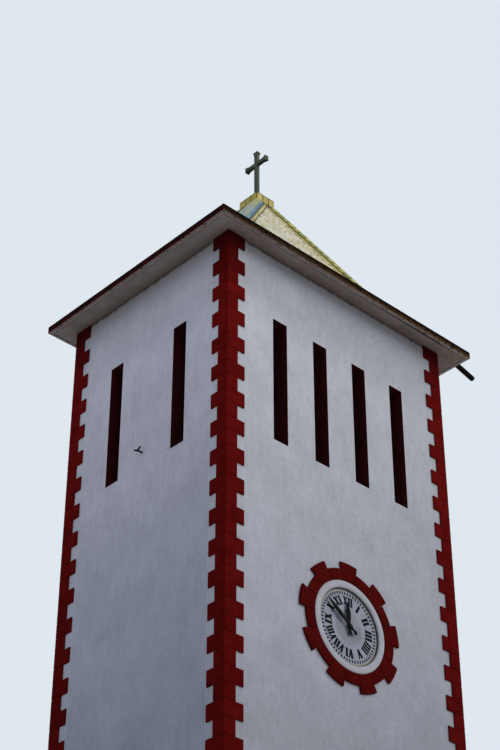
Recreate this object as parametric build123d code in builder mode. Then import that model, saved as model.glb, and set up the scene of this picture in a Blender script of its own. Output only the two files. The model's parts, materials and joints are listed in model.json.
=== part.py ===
from build123d import *
from math import cos, radians, sin
import os

# Clock tower: a hollow rendered shaft with red corner quoins, slit openings
# round a belfry, a flat eave slab, a tiled hipped roof with a cross, and a
# round clock whose hands turn on concentric arbors.
# Sizes are in millimetres. +Z is up, the clock looks towards -Y, and the
# origin is the centre of the tower's plan at ground level.

# Shaft
tower_width = 3860
tower_depth = 3000
wall_thickness = 300
course_height = 200
course_count = 83

# Belfry slits
slit_width = 240
slit_height = 1800
slit_head_drop = 1000
front_slit_count = 4
front_slit_pitch = 700
side_slit_count = 2
side_slit_pitch = 1225

# Floors
ground_floor_thickness = 150
belfry_floor_thickness = 120
belfry_floor_drop = 200

# Corner quoins, with arms measured from the corner that they make
quoin_proud = 20
long_arm = 288
short_arm = 175

# Eave slab and its drip groove
slab_thickness = 100
front_overhang = 250
back_overhang = 275
left_overhang = 315
right_overhang = 430
drip_inset = 45
drip_width = 20
drip_depth = 12

# Hipped roof, set in from the wall faces
roof_inset = 70
roof_rise = 2300
roof_skin_drop = 120
hip_cap_lift = 25
pedestal_width = 340
pedestal_depth = 360
pedestal_height = 150
pedestal_from_centre = (-10, 19)

# Cross
cross_height = 955
cross_arm_length = 425
cross_arm_height = 730
cross_bar_width = 60
cross_bar_thickness = 50
cross_end_width = 88
cross_end_thickness = 70
cross_end_length = 70

# Spout pipe on the slab
spout_diameter = 76
spout_wall = 4
spout_reach = 550
spout_bearing = 300
spout_skew = 10
spout_from_front = 325

# Clock, a little right of the front wall's middle
clock_from_centre = 20
clock_drop = 4875
dial_radius = 490
dial_thickness = 20
dial_set_back = 10
surround_proud = 30
surround_inner_radius = 580
short_stone_radius = 722
long_stone_radius = 818
stone_count = 18
stone_joint = 5
bezel_inner_radius = 484
bezel_proud = 26
bezel_facet_angle = 30

# Clock hands and their concentric arbors
bush_radius = 18
bush_proud = 12
hour_pipe_radius = 13
minute_arbor_radius = 8
running_gap = 0.08
seat_gap = 0.3
hand_thickness = 4
hand_gap = 9
hour_hand_length = 306
hour_hand_width = 44
hour_tail_length = 106
minute_hand_length = 428
minute_hand_width = 38
minute_tail_length = 128
hub_radius = 32
hand_tip_width = 7
blade_belly = 0.42
blade_neck = 0.6
tail_club_radius = 26
arbor_nose = 8
shown_minutes = 51
shown_hour = 11

# Door in the back wall
door_width = 900
door_height = 2100
door_leaf_thickness = 44
door_frame_width = 60
door_frame_depth = 110
door_rebate = 14
door_set_back = 90

# Iron fork on the left wall
fork_drop = 2610
fork_from_centre = 31
fork_reach = 90
fork_radius = 65
fork_bar = 16

# Heights and half sizes that follow from the values above
shaft_height = course_height * course_count
half_width = tower_width / 2
half_depth = tower_depth / 2
inner_width = tower_width - 2 * wall_thickness
inner_depth = tower_depth - 2 * wall_thickness
slit_head = shaft_height - slit_head_drop
slit_sill = slit_head - slit_height
slab_top = shaft_height + slab_thickness
roof_top = slab_top + roof_rise
pedestal_top = roof_top + pedestal_height

os.makedirs("parts", exist_ok=True)

# The front and back walls run the whole width, and the side walls stand
# between them. Each entry is the plan centre and the plan size of a wall.
wall_offset_y = half_depth - wall_thickness / 2
wall_offset_x = half_width - wall_thickness / 2
wall_plans = {
    "front": ((0, -wall_offset_y), (tower_width, wall_thickness)),
    "back": ((0, wall_offset_y), (tower_width, wall_thickness)),
    "left": ((-wall_offset_x, 0), (wall_thickness, inner_depth)),
    "right": ((wall_offset_x, 0), (wall_thickness, inner_depth)),
}

# The clock's own plane lies on the front wall's face, looking outwards.
clock_height = shaft_height - clock_drop
clock_plane = Plane(
    origin=(clock_from_centre, -half_depth, clock_height), x_dir=(1, 0, 0), z_dir=(0, -1, 0)
)
dial_seat_depth = dial_set_back + dial_thickness


# Front wall, with the dial's seat and the hole for its bush
with BuildPart() as front_wall:
    with BuildSketch():
        with Locations(wall_plans["front"][0]):
            Rectangle(*wall_plans["front"][1])
    extrude(amount=slit_sill)
    with BuildSketch(clock_plane):
        Circle(dial_radius + seat_gap)
    extrude(amount=-dial_seat_depth, mode=Mode.SUBTRACT)
    with BuildSketch(clock_plane):
        Circle(bush_radius + seat_gap)
    extrude(amount=-wall_thickness, mode=Mode.SUBTRACT)
front_wall.part.label = "front_wall"
export_step(front_wall.part, "parts/front_wall.step")

# Plain side walls
for side in ("left", "right"):
    with BuildPart() as side_wall:
        with BuildSketch():
            with Locations(wall_plans[side][0]):
                Rectangle(*wall_plans[side][1])
        extrude(amount=slit_sill)
    side_wall.part.label = f"{side}_wall"
    export_step(side_wall.part, f"parts/{side}_wall.step")

# The back wall's lower part is two piers beside the doorway.
doorway_width = door_width + 2 * door_frame_width
doorway_head = ground_floor_thickness + door_height + door_frame_width
with BuildPart() as back_wall_lower:
    with BuildSketch():
        with Locations(wall_plans["back"][0]):
            Rectangle(*wall_plans["back"][1])
            Rectangle(doorway_width, wall_thickness, mode=Mode.SUBTRACT)
    extrude(amount=doorway_head)
back_wall_lower.part.label = "back_wall_lower"
export_step(back_wall_lower.part, "parts/back_wall_lower.step")

with BuildPart() as back_wall_upper:
    with BuildSketch(Plane.XY.offset(doorway_head)):
        with Locations(wall_plans["back"][0]):
            Rectangle(*wall_plans["back"][1])
    extrude(amount=slit_sill - doorway_head)
back_wall_upper.part.label = "back_wall_upper"
export_step(back_wall_upper.part, "parts/back_wall_upper.step")

# Belfry piers between the slits, and the band over their heads
slit_patterns = {
    "front": (front_slit_pitch, 0, front_slit_count, 1),
    "back": (front_slit_pitch, 0, front_slit_count, 1),
    "left": (0, side_slit_pitch, 1, side_slit_count),
    "right": (0, side_slit_pitch, 1, side_slit_count),
}
for side, (plan_centre, plan_size) in wall_plans.items():
    along_x = side in ("front", "back")
    slit_plan = (slit_width, wall_thickness) if along_x else (wall_thickness, slit_width)
    with BuildPart() as piers:
        with BuildSketch(Plane.XY.offset(slit_sill)):
            with Locations(plan_centre):
                Rectangle(*plan_size)
                with GridLocations(*slit_patterns[side]):
                    Rectangle(*slit_plan, mode=Mode.SUBTRACT)
        extrude(amount=slit_height)
    piers.part.label = f"{side}_belfry_piers"
    export_step(piers.part, f"parts/{side}_belfry_piers.step")

    with BuildPart() as head_band:
        with BuildSketch(Plane.XY.offset(slit_head)):
            with Locations(plan_centre):
                Rectangle(*plan_size)
        extrude(amount=slit_head_drop)
    head_band.part.label = f"{side}_head_band"
    export_step(head_band.part, f"parts/{side}_head_band.step")

# Floors between the walls' inner faces
with BuildPart() as ground_floor:
    with BuildSketch():
        Rectangle(inner_width, inner_depth)
    extrude(amount=ground_floor_thickness)
ground_floor.part.label = "ground_floor"
export_step(ground_floor.part, "parts/ground_floor.step")

belfry_floor_top = slit_sill - belfry_floor_drop
with BuildPart() as belfry_floor:
    with BuildSketch(Plane.XY.offset(belfry_floor_top - belfry_floor_thickness)):
        Rectangle(inner_width, inner_depth)
    extrude(amount=belfry_floor_thickness)
belfry_floor.part.label = "belfry_floor"
export_step(belfry_floor.part, "parts/belfry_floor.step")

# Quoins: an L-shaped spine up each corner, with a longer block on every
# second course. The top and the bottom course are long.
quoin_corners = {
    "front_left": (-1, -1),
    "front_right": (1, -1),
    "back_left": (-1, 1),
    "back_right": (1, 1),
}
long_course_planes = [
    Plane.XY.offset(course * course_height) for course in range(0, course_count, 2)
]
for corner, (side_x, side_y) in quoin_corners.items():
    corner_x = side_x * (half_width + quoin_proud)
    corner_y = side_y * (half_depth + quoin_proud)
    wall_centre = (side_x * (half_width - long_arm / 2), side_y * (half_depth - long_arm / 2))
    with BuildPart() as quoins:
        with BuildSketch():
            with Locations((corner_x - side_x * short_arm / 2, corner_y - side_y * short_arm / 2)):
                Rectangle(short_arm, short_arm)
            with Locations(wall_centre):
                Rectangle(long_arm, long_arm, mode=Mode.SUBTRACT)
        extrude(amount=shaft_height)
        with BuildSketch(*long_course_planes):
            with Locations((corner_x - side_x * long_arm / 2, corner_y - side_y * long_arm / 2)):
                Rectangle(long_arm, long_arm)
            with Locations(wall_centre):
                Rectangle(long_arm, long_arm, mode=Mode.SUBTRACT)
        extrude(amount=course_height)
    quoins.part.label = f"{corner}_quoins"
    export_step(quoins.part, f"parts/{corner}_quoins.step")

# Eave slab, with a drip groove all round under its edge
slab_width = tower_width + left_overhang + right_overhang
slab_depth = tower_depth + front_overhang + back_overhang
slab_centre = ((right_overhang - left_overhang) / 2, (back_overhang - front_overhang) / 2)
with BuildPart() as eave_slab:
    with BuildSketch(Plane.XY.offset(shaft_height)):
        with Locations(slab_centre):
            Rectangle(slab_width, slab_depth)
    extrude(amount=slab_thickness)
    with BuildSketch(Plane.XY.offset(shaft_height)):
        with Locations(slab_centre):
            Rectangle(slab_width - 2 * drip_inset, slab_depth - 2 * drip_inset)
            groove_inset = 2 * (drip_inset + drip_width)
            Rectangle(slab_width - groove_inset, slab_depth - groove_inset, mode=Mode.SUBTRACT)
    extrude(amount=drip_depth, mode=Mode.SUBTRACT)
eave_slab.part.label = "eave_slab"
export_step(eave_slab.part, "parts/eave_slab.step")

# Roof: four sloping concrete faces, mitred on upright planes under the hips.
# They run from a level base on the slab up to the pedestal's four sides.
roof_half_width = half_width - roof_inset
roof_half_depth = half_depth - roof_inset
pedestal_x, pedestal_y = pedestal_from_centre
pedestal_left = pedestal_x - pedestal_width / 2
pedestal_right = pedestal_x + pedestal_width / 2
pedestal_front = pedestal_y - pedestal_depth / 2
pedestal_back = pedestal_y + pedestal_depth / 2


def make_hipped_form(lift):
    """The roof's solid outline, moved up by the lift and carried on down to the slab."""
    share = lift / roof_rise
    left = -roof_half_width - (pedestal_left + roof_half_width) * share
    right = roof_half_width + (roof_half_width - pedestal_right) * share
    front = -roof_half_depth - (pedestal_front + roof_half_depth) * share
    back = roof_half_depth + (roof_half_depth - pedestal_back) * share
    with BuildPart() as form:
        with BuildSketch(Plane.XZ):
            with BuildLine():
                Polyline(
                    (left, slab_top),
                    (right, slab_top),
                    (pedestal_right, roof_top + lift),
                    (pedestal_left, roof_top + lift),
                    close=True,
                )
            make_face()
        extrude(amount=tower_depth, both=True)
        with BuildSketch(Plane.YZ):
            with BuildLine():
                Polyline(
                    (front, slab_top),
                    (back, slab_top),
                    (pedestal_back, roof_top + lift),
                    (pedestal_front, roof_top + lift),
                    close=True,
                )
            make_face()
        extrude(amount=tower_width, both=True, mode=Mode.INTERSECT)
    return form


roof_form = make_hipped_form(0)
roof_void = make_hipped_form(-roof_skin_drop)
hip_heads = {
    "front_left": (pedestal_left, pedestal_front),
    "front_right": (pedestal_right, pedestal_front),
    "back_left": (pedestal_left, pedestal_back),
    "back_right": (pedestal_right, pedestal_back),
}
hip_feet = {
    corner: (side_x * roof_half_width, side_y * roof_half_depth)
    for corner, (side_x, side_y) in quoin_corners.items()
}
roof_sides = {
    "front": ("front_left", "front_right"),
    "back": ("back_right", "back_left"),
    "left": ("back_left", "front_left"),
    "right": ("front_right", "back_right"),
}
for side, (start, end) in roof_sides.items():
    with BuildPart() as roof_face:
        add(roof_form.part)
        add(roof_void.part, mode=Mode.SUBTRACT)
        with BuildSketch(Plane.XY.offset(slab_top)):
            with BuildLine():
                Polyline(
                    pedestal_from_centre,
                    hip_heads[start],
                    hip_feet[start],
                    hip_feet[end],
                    hip_heads[end],
                    close=True,
                )
            make_face()
        extrude(amount=roof_rise, mode=Mode.INTERSECT)
    roof_face.part.label = f"{side}_roof_face"
    export_step(roof_face.part, f"parts/{side}_roof_face.step")

# Hip caps: a bed of tiles folded over each hip. In plan it is a strip along
# the hip that starts at the middles of two pedestal sides.
lifted_form = make_hipped_form(hip_cap_lift)
strip_overrun = 1.2
for corner, (head_x, head_y) in hip_heads.items():
    strip_x = (hip_feet[corner][0] - head_x) * strip_overrun
    strip_y = (hip_feet[corner][1] - head_y) * strip_overrun
    with BuildPart() as hip_cap:
        add(lifted_form.part)
        add(roof_form.part, mode=Mode.SUBTRACT)
        with BuildSketch(Plane.XY.offset(slab_top)):
            with BuildLine():
                Polyline(
                    pedestal_from_centre,
                    (pedestal_x, head_y),
                    (pedestal_x + strip_x, head_y + strip_y),
                    (head_x + strip_x, pedestal_y + strip_y),
                    (head_x, pedestal_y),
                    close=True,
                )
            make_face()
        extrude(amount=roof_rise + hip_cap_lift, mode=Mode.INTERSECT)
        with BuildSketch(Plane.XY.offset(roof_top)):
            with Locations(pedestal_from_centre):
                Rectangle(pedestal_width, pedestal_depth)
        extrude(amount=hip_cap_lift, mode=Mode.SUBTRACT)
    hip_cap.part.label = f"{corner}_hip_cap"
    export_step(hip_cap.part, f"parts/{corner}_hip_cap.step")

# Pedestal
with BuildPart() as pedestal:
    with BuildSketch(Plane.XY.offset(roof_top)):
        with Locations(pedestal_from_centre):
            Rectangle(pedestal_width, pedestal_depth)
    extrude(amount=pedestal_height)
pedestal.part.label = "pedestal"
export_step(pedestal.part, "parts/pedestal.step")


def make_cross_bar(plane, low, high):
    """A bar along the plane's local Y, flared both ways to its high end and, below 0, its low end."""
    half_bar = cross_bar_width / 2
    half_end = cross_end_width / 2
    flare_low = [(half_end, low), (half_bar, low + cross_end_length)] if low < 0 else [(half_bar, low)]
    side = [*flare_low, (half_bar, high - cross_end_length), (half_end, high)]
    slim = cross_bar_thickness / 2
    thick = cross_end_thickness / 2
    edge_low = [(thick, low), (slim, low + cross_end_length)] if low < 0 else [(slim, low)]
    edge = [*edge_low, (slim, high - cross_end_length), (thick, high)]
    with BuildPart() as bar:
        with BuildSketch(plane):
            with BuildLine():
                Polyline(*side, *[(-x, y) for x, y in reversed(side)], close=True)
            make_face()
        extrude(amount=thick, both=True)
        side_plane = Plane(origin=plane.origin, x_dir=plane.z_dir, z_dir=-plane.x_dir)
        with BuildSketch(side_plane):
            with BuildLine():
                Polyline(*edge, *[(-x, y) for x, y in reversed(edge)], close=True)
            make_face()
        extrude(amount=half_end, both=True, mode=Mode.INTERSECT)
    return bar


# Cross: two bars with flared ends, halved into each other
post_plane = Plane(origin=(*pedestal_from_centre, pedestal_top), x_dir=(0, 1, 0), z_dir=(1, 0, 0))
with BuildPart() as cross_post:
    add(make_cross_bar(post_plane, 0, cross_height).part)
    with BuildSketch(post_plane):
        with Locations((0, cross_arm_height)):
            Rectangle(cross_bar_width, cross_bar_width)
    extrude(amount=cross_bar_thickness, mode=Mode.SUBTRACT)
cross_post.part.label = "cross_post"
export_step(cross_post.part, "parts/cross_post.step")

half_arm = cross_arm_length / 2
arm_origin = (*pedestal_from_centre, pedestal_top + cross_arm_height)
arm_plane = Plane(origin=arm_origin, x_dir=(0, 0, 1), z_dir=(1, 0, 0))
with BuildPart() as cross_arm:
    add(make_cross_bar(arm_plane, -half_arm, half_arm).part)
    with BuildSketch(arm_plane):
        Rectangle(cross_bar_width, cross_bar_width)
    extrude(amount=-cross_bar_thickness, mode=Mode.SUBTRACT)
cross_arm.part.label = "cross_arm"
export_step(cross_arm.part, "parts/cross_arm.step")

# Spout: an iron pipe that lies on the slab at the roof's front right corner
# and runs out past its edge, a little askew
spout_radius = spout_diameter / 2
spout_length = spout_reach + spout_bearing
spout_run = (cos(radians(spout_skew)), sin(radians(spout_skew)), 0)
spout_start = (
    half_width + right_overhang - spout_bearing * spout_run[0],
    -half_depth - front_overhang + spout_from_front - spout_bearing * spout_run[1],
    slab_top + spout_radius + seat_gap,
)
with BuildPart() as roof_spout:
    with BuildSketch(Plane(origin=spout_start, z_dir=spout_run)):
        Circle(spout_radius)
        Circle(spout_radius - spout_wall, mode=Mode.SUBTRACT)
    extrude(amount=spout_length)
roof_spout.part.label = "roof_spout"
export_step(roof_spout.part, "parts/roof_spout.step")

# Clock surround: wedge stones in a ring with open joints, and every second
# one reaches further out like a tooth
stone_angle = 360 / stone_count
tooth_x = long_stone_radius * cos(radians(stone_angle / 2))
tooth_y = long_stone_radius * sin(radians(stone_angle / 2))
with BuildSketch() as tooth:
    with BuildLine():
        Line((0, 0), (tooth_x, -tooth_y))
        ThreePointArc((tooth_x, -tooth_y), (long_stone_radius, 0), (tooth_x, tooth_y))
        Line((tooth_x, tooth_y), (0, 0))
    make_face()

with BuildPart() as clock_surround:
    with BuildSketch(clock_plane):
        Circle(short_stone_radius)
        with PolarLocations(0, stone_count // 2, start_angle=90):
            add(tooth.sketch)
        Circle(surround_inner_radius, mode=Mode.SUBTRACT)
        with PolarLocations(long_stone_radius / 2, stone_count, start_angle=90 + stone_angle / 2):
            Rectangle(long_stone_radius, stone_joint, mode=Mode.SUBTRACT)
    extrude(amount=surround_proud)
clock_surround.part.label = "clock_surround"
export_step(clock_surround.part, "parts/clock_surround.step")

# Bezel: a rounded white moulding between the dial and the stones
bezel_outer_radius = surround_inner_radius - seat_gap
bezel_crown = (bezel_outer_radius - bezel_inner_radius) / 2
bezel_middle = bezel_inner_radius + bezel_crown
with BuildPart() as bezel:
    with BuildSketch(Plane(origin=clock_plane.origin, x_dir=(1, 0, 0), z_dir=(0, 0, 1))):
        with BuildLine():
            Polyline(
                *[
                    (
                        bezel_middle - bezel_crown * cos(radians(angle)),
                        -bezel_proud * sin(radians(angle)),
                    )
                    for angle in range(0, 181, bezel_facet_angle)
                ],
                close=True,
            )
        make_face()
    revolve(axis=Axis(clock_plane.origin, (0, 1, 0)))
bezel.part.label = "bezel"
export_step(bezel.part, "parts/bezel.step")

# Dial, seated in the front wall
with BuildPart() as dial:
    with BuildSketch(clock_plane.offset(-dial_seat_depth)):
        Circle(dial_radius)
        Circle(bush_radius + seat_gap, mode=Mode.SUBTRACT)
    extrude(amount=dial_thickness)
dial.part.label = "dial"
export_step(dial.part, "parts/dial.step")

# Concentric arbors. The fixed bush goes through dial and wall, the hour pipe
# turns in it, and the minute arbor turns in the pipe.
dial_front = -dial_set_back
hour_back = dial_front + bush_proud + hand_gap
hour_front = hour_back + hand_thickness
minute_back = hour_front + hand_gap
minute_front = minute_back + hand_thickness
with BuildPart() as arbor_bush:
    with BuildSketch(clock_plane.offset(-wall_thickness)):
        Circle(bush_radius)
        Circle(hour_pipe_radius + running_gap, mode=Mode.SUBTRACT)
    extrude(amount=wall_thickness + dial_front + bush_proud)
arbor_bush.part.label = "arbor_bush"
export_step(arbor_bush.part, "parts/arbor_bush.step")

with BuildPart() as hour_pipe:
    with BuildSketch(clock_plane.offset(-wall_thickness)):
        Circle(hour_pipe_radius)
        Circle(minute_arbor_radius + running_gap, mode=Mode.SUBTRACT)
    extrude(amount=wall_thickness + hour_back)
hour_pipe.part.label = "hour_pipe"
export_step(hour_pipe.part, "parts/hour_pipe.step")

with BuildPart() as minute_arbor:
    with BuildSketch(clock_plane.offset(-wall_thickness)):
        Circle(minute_arbor_radius)
    extrude(amount=wall_thickness + minute_front + arbor_nose)
minute_arbor.part.label = "minute_arbor"
export_step(minute_arbor.part, "parts/minute_arbor.step")


def make_hand(back, clockwise_angle, length, width, tail, bore_radius):
    """Leaf-shaped blade, a round hub and a clubbed tail, turned clockwise from twelve."""
    turn = radians(clockwise_angle)
    plane = Plane(
        origin=clock_plane.offset(back).origin, x_dir=(cos(turn), 0, -sin(turn)), z_dir=(0, -1, 0)
    )
    belly = length * blade_belly
    neck = width * blade_neck / 2
    with BuildPart() as hand:
        with BuildSketch(plane):
            with BuildLine():
                Polyline(
                    (-neck, 0),
                    (neck, 0),
                    (width / 2, belly),
                    (hand_tip_width / 2, length),
                    (-hand_tip_width / 2, length),
                    (-width / 2, belly),
                    close=True,
                )
            make_face()
            Circle(hub_radius)
            with Locations((0, -tail / 2)):
                Rectangle(2 * neck, tail)
            with Locations((0, tail_club_radius - tail)):
                Circle(tail_club_radius)
            Circle(bore_radius, mode=Mode.SUBTRACT)
        extrude(amount=hand_thickness)
    return hand


minute_angle = shown_minutes * 360 / 60
hour_angle = (shown_hour + shown_minutes / 60) * 360 / 12
hour_hand = make_hand(
    hour_back,
    hour_angle,
    hour_hand_length,
    hour_hand_width,
    hour_tail_length,
    minute_arbor_radius + running_gap,
)
hour_hand.part.label = "hour_hand"
export_step(hour_hand.part, "parts/hour_hand.step")

minute_hand = make_hand(
    minute_back,
    minute_angle,
    minute_hand_length,
    minute_hand_width,
    minute_tail_length,
    minute_arbor_radius,
)
minute_hand.part.label = "minute_hand"
export_step(minute_hand.part, "parts/minute_hand.step")

# Door in the back wall: a rebated frame and a plain leaf shut against it.
# The door's plane looks outwards from the back wall's face.
door_plane = Plane(
    origin=(0, half_depth - door_set_back, ground_floor_thickness), x_dir=(-1, 0, 0), z_dir=(0, 1, 0)
)
frame_height = door_height + door_frame_width
with BuildPart() as door_frame:
    with BuildSketch(door_plane):
        with Locations((0, frame_height / 2)):
            Rectangle(doorway_width, frame_height)
        with Locations((0, (door_height - door_rebate) / 2)):
            Rectangle(door_width - 2 * door_rebate, door_height - door_rebate, mode=Mode.SUBTRACT)
    extrude(amount=-door_frame_depth)
    with BuildSketch(door_plane):
        with Locations((0, door_height / 2)):
            Rectangle(door_width, door_height)
    extrude(amount=-door_leaf_thickness, mode=Mode.SUBTRACT)
door_frame.part.label = "door_frame"
export_step(door_frame.part, "parts/door_frame.step")

door_play = 3
with BuildPart() as door_leaf:
    with BuildSketch(door_plane):
        with Locations((0, door_height / 2)):
            Rectangle(door_width - 2 * door_play, door_height - 2 * door_play)
    extrude(amount=-door_leaf_thickness)
door_leaf.part.label = "door_leaf"
export_step(door_leaf.part, "parts/door_leaf.step")

with BuildPart() as door_sill:
    with BuildSketch():
        with Locations(wall_plans["back"][0]):
            Rectangle(doorway_width, wall_thickness)
    extrude(amount=ground_floor_thickness)
door_sill.part.label = "door_sill"
export_step(door_sill.part, "parts/door_sill.step")

# Iron fork: a stem from the left wall that carries a crescent of flat bar
fork_plane = Plane(
    origin=(-half_width, fork_from_centre, shaft_height - fork_drop), x_dir=(0, -1, 0), z_dir=(-1, 0, 0)
)
with BuildPart() as wall_fork:
    with BuildSketch(fork_plane):
        Rectangle(fork_bar, fork_bar)
    extrude(amount=fork_reach)
    with BuildSketch(fork_plane.offset(fork_reach - fork_bar)):
        with Locations((0, fork_radius - fork_bar / 2)):
            Circle(fork_radius)
            Circle(fork_radius - fork_bar, mode=Mode.SUBTRACT)
        with Locations((0, fork_radius * 1.5)):
            Rectangle(3 * fork_radius, 2 * fork_radius, mode=Mode.SUBTRACT)
    extrude(amount=fork_bar)
wall_fork.part.label = "wall_fork"
export_step(wall_fork.part, "parts/wall_fork.step")
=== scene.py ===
# %% [markdown]
# A clock tower: a white limewashed shaft with dark red corner blocks, tall belfry slits,
# a flat concrete eave slab, a hipped roof covered with broken tile, and a round clock.
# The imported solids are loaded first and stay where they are. Every finish and every fine
# piece is then fitted to them, so that nothing has to be lined up by eye.

# %% Load the solids
import json
import math

import bmesh
import bpy
from mathutils import Matrix, Vector

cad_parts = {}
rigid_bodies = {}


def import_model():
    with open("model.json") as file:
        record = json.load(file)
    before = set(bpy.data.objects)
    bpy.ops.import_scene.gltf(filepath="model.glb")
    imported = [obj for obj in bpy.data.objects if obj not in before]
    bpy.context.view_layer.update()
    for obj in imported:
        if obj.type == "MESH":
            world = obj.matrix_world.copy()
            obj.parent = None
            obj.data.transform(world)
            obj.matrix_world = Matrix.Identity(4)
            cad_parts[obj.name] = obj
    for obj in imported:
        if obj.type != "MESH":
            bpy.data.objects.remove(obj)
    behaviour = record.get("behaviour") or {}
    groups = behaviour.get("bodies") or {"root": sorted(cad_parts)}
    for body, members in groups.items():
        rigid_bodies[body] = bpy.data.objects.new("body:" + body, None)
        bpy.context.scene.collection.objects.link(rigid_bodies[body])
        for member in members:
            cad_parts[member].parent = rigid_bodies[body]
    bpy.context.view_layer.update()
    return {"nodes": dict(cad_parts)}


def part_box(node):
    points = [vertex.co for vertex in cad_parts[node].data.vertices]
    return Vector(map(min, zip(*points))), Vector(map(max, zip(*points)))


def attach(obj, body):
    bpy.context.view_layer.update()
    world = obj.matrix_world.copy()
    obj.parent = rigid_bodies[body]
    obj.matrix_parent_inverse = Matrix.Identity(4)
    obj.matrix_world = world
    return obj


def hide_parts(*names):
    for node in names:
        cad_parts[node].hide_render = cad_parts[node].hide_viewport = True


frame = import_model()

nodes = frame["nodes"]

# %% [markdown]
# A few helpers serve the whole file. One turns a hex colour, as it is read from a paint
# chart, into the linear numbers that Blender mixes. One adds a node, sets it and links
# it. One starts a material with the values that its real surface has. Two more say what
# most finishes here are made of: a tone that is mottled at a known size, and a stain that
# lies over what is under it.

# %% Helpers for colours, nodes and materials


def linear(hex_colour):
    """An sRGB hex colour as a linear colour with full alpha."""
    channels = [int(hex_colour[i:i + 2], 16) / 255 for i in (1, 3, 5)]
    curve = [c / 12.92 if c <= 0.04045 else ((c + 0.055) / 1.055) ** 2.4 for c in channels]
    return (*curve, 1.0)


def first_enabled(sockets, name=None):
    return next(s for s in sockets if s.enabled and name in (None, s.name))


def add_node(tree, kind, inputs=None, stops=None, **settings):
    """Adds a node. Inputs are values, sockets, nodes or lists of them, and stops fill a ramp."""
    node = tree.nodes.new(kind)
    for name, value in settings.items():
        setattr(node, name, value)
    for key, given in (inputs or {}).items():
        socket = node.inputs[key] if isinstance(key, int) else first_enabled(node.inputs, key)
        for value in given if isinstance(given, list) else [given]:
            if isinstance(value, bpy.types.Node):
                value = first_enabled(value.outputs)
            if isinstance(value, bpy.types.NodeSocket):
                tree.links.new(value, socket)
            else:
                socket.default_value = value
    if stops:
        ramp = node.color_ramp
        while len(ramp.elements) < len(stops):
            ramp.elements.new(1.0)
        for element, (position, colour) in zip(ramp.elements, stops):
            element.position = position
            element.color = linear(colour)
    return node


def new_material(name, roughness, metallic=0.0, specular=0.5):
    """A material with its shader, and the coordinates that run with the object, in metres."""
    material = bpy.data.materials.new(name)
    material.use_nodes = True
    tree = material.node_tree
    shader = tree.nodes["Principled BSDF"]
    shader.inputs["Roughness"].default_value = roughness
    shader.inputs["Metallic"].default_value = metallic
    shader.inputs["Specular IOR Level"].default_value = specular
    place = add_node(tree, "ShaderNodeTexCoord")
    return material, tree, shader, place


def per_metre(millimetres):
    """The scale that gives a pattern this size."""
    return 1000 / millimetres


def mottled(name, roughness, millimetres, tones, grain=None, metallic=0.0, specular=0.5):
    """A material of one mottled tone, with its patches of this size."""
    material, tree, shader, place = new_material(name, roughness, metallic, specular)
    patches = add_node(tree, "ShaderNodeTexNoise", {
        "Vector": place.outputs["Object"], "Scale": per_metre(millimetres), **(grain or {}),
    })
    tone = add_node(tree, "ShaderNodeValToRGB", {"Fac": patches}, stops=tones)
    tree.links.new(tone.outputs["Color"], shader.inputs["Base Color"])
    return material, tree, shader, patches


def stained(tree, under, stain_colour, source, start, end, at_start, at_end, **settings):
    """Lays a stain over a colour, by a share that follows the source from start to end."""
    share = add_node(tree, "ShaderNodeMapRange", {
        "Value": source, "From Min": start, "From Max": end, "To Min": at_start, "To Max": at_end,
    }, **settings)
    return add_node(tree, "ShaderNodeMix", {
        "Factor": share, "A": under, "B": linear(stain_colour),
    }, data_type="RGBA")


def surface(tree, shader, colour, pattern, strength, depth):
    """Gives the shader its colour, and a relief that follows a pattern, this deep in metres."""
    tree.links.new(first_enabled(colour.outputs), shader.inputs["Base Color"])
    relief = add_node(tree, "ShaderNodeBump", {"Height": pattern, "Strength": strength, "Distance": depth})
    tree.links.new(relief.outputs["Normal"], shader.inputs["Normal"])


def rectangle(left, low, right, high):
    return [(left, low), (right, low), (right, high), (left, high)]


print("white", linear("#ffffff"))

# %% [markdown]
# The camera stands where the photographer stood, to the left of the clock side, with the
# lens tilted up. Its place was solved from the tower's own edges in the photograph.

# %% Camera
camera_place = Vector((-13.6756, -14.4768, 1.9071))
camera_yaw = math.radians(43.0353)
camera_pitch = math.radians(35.4426)
camera_roll = math.radians(0.0737)
focal_pixels = 1812.924
frame_height_pixels = 750

ahead = Vector((
    math.sin(camera_yaw) * math.cos(camera_pitch),
    math.cos(camera_yaw) * math.cos(camera_pitch),
    math.sin(camera_pitch),
))
level_right = Vector((math.cos(camera_yaw), -math.sin(camera_yaw), 0))
level_up = level_right.cross(ahead)
right = level_right * math.cos(camera_roll) + level_up * math.sin(camera_roll)
up = right.cross(ahead)

camera_data = bpy.data.cameras.new("street_camera")
camera_data.sensor_width = 36
camera_data.lens = focal_pixels / frame_height_pixels * camera_data.sensor_width
camera_data.clip_end = 500
camera = bpy.data.objects.new("street_camera", camera_data)
bpy.context.scene.collection.objects.link(camera)
camera.matrix_world = Matrix((
    (right.x, up.x, -ahead.x, camera_place.x),
    (right.y, up.y, -ahead.y, camera_place.y),
    (right.z, up.z, -ahead.z, camera_place.z),
    (0, 0, 0, 1),
))
bpy.context.scene.camera = camera
bpy.context.scene.view_settings.view_transform = "Standard"
print("lens", round(camera_data.lens, 2), "mm")

# %% [markdown]
# The light is a bright overcast day: a soft sky all round, and one broad lamp from the
# right of the clock side, so that the clock side is the lighter one and the left side
# lies in shade. Both are as weak as the photograph's dark exposure asks for. The sky that
# the camera sees is paler than the one that lights the tower.

# %% Floor, sky and lamp
scene_nodes = bpy.context.scene.collection.objects


def link_mesh(name, vertices, faces, *materials):
    """An object at the origin with its place in its mesh."""
    mesh = bpy.data.meshes.new(name)
    mesh.from_pydata(vertices, [], faces)
    mesh.update()
    for material in materials:
        mesh.materials.append(material)
    thing = bpy.data.objects.new(name, mesh)
    scene_nodes.link(thing)
    return thing


floor_reach = 120
floor_level = -0.002
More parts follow.
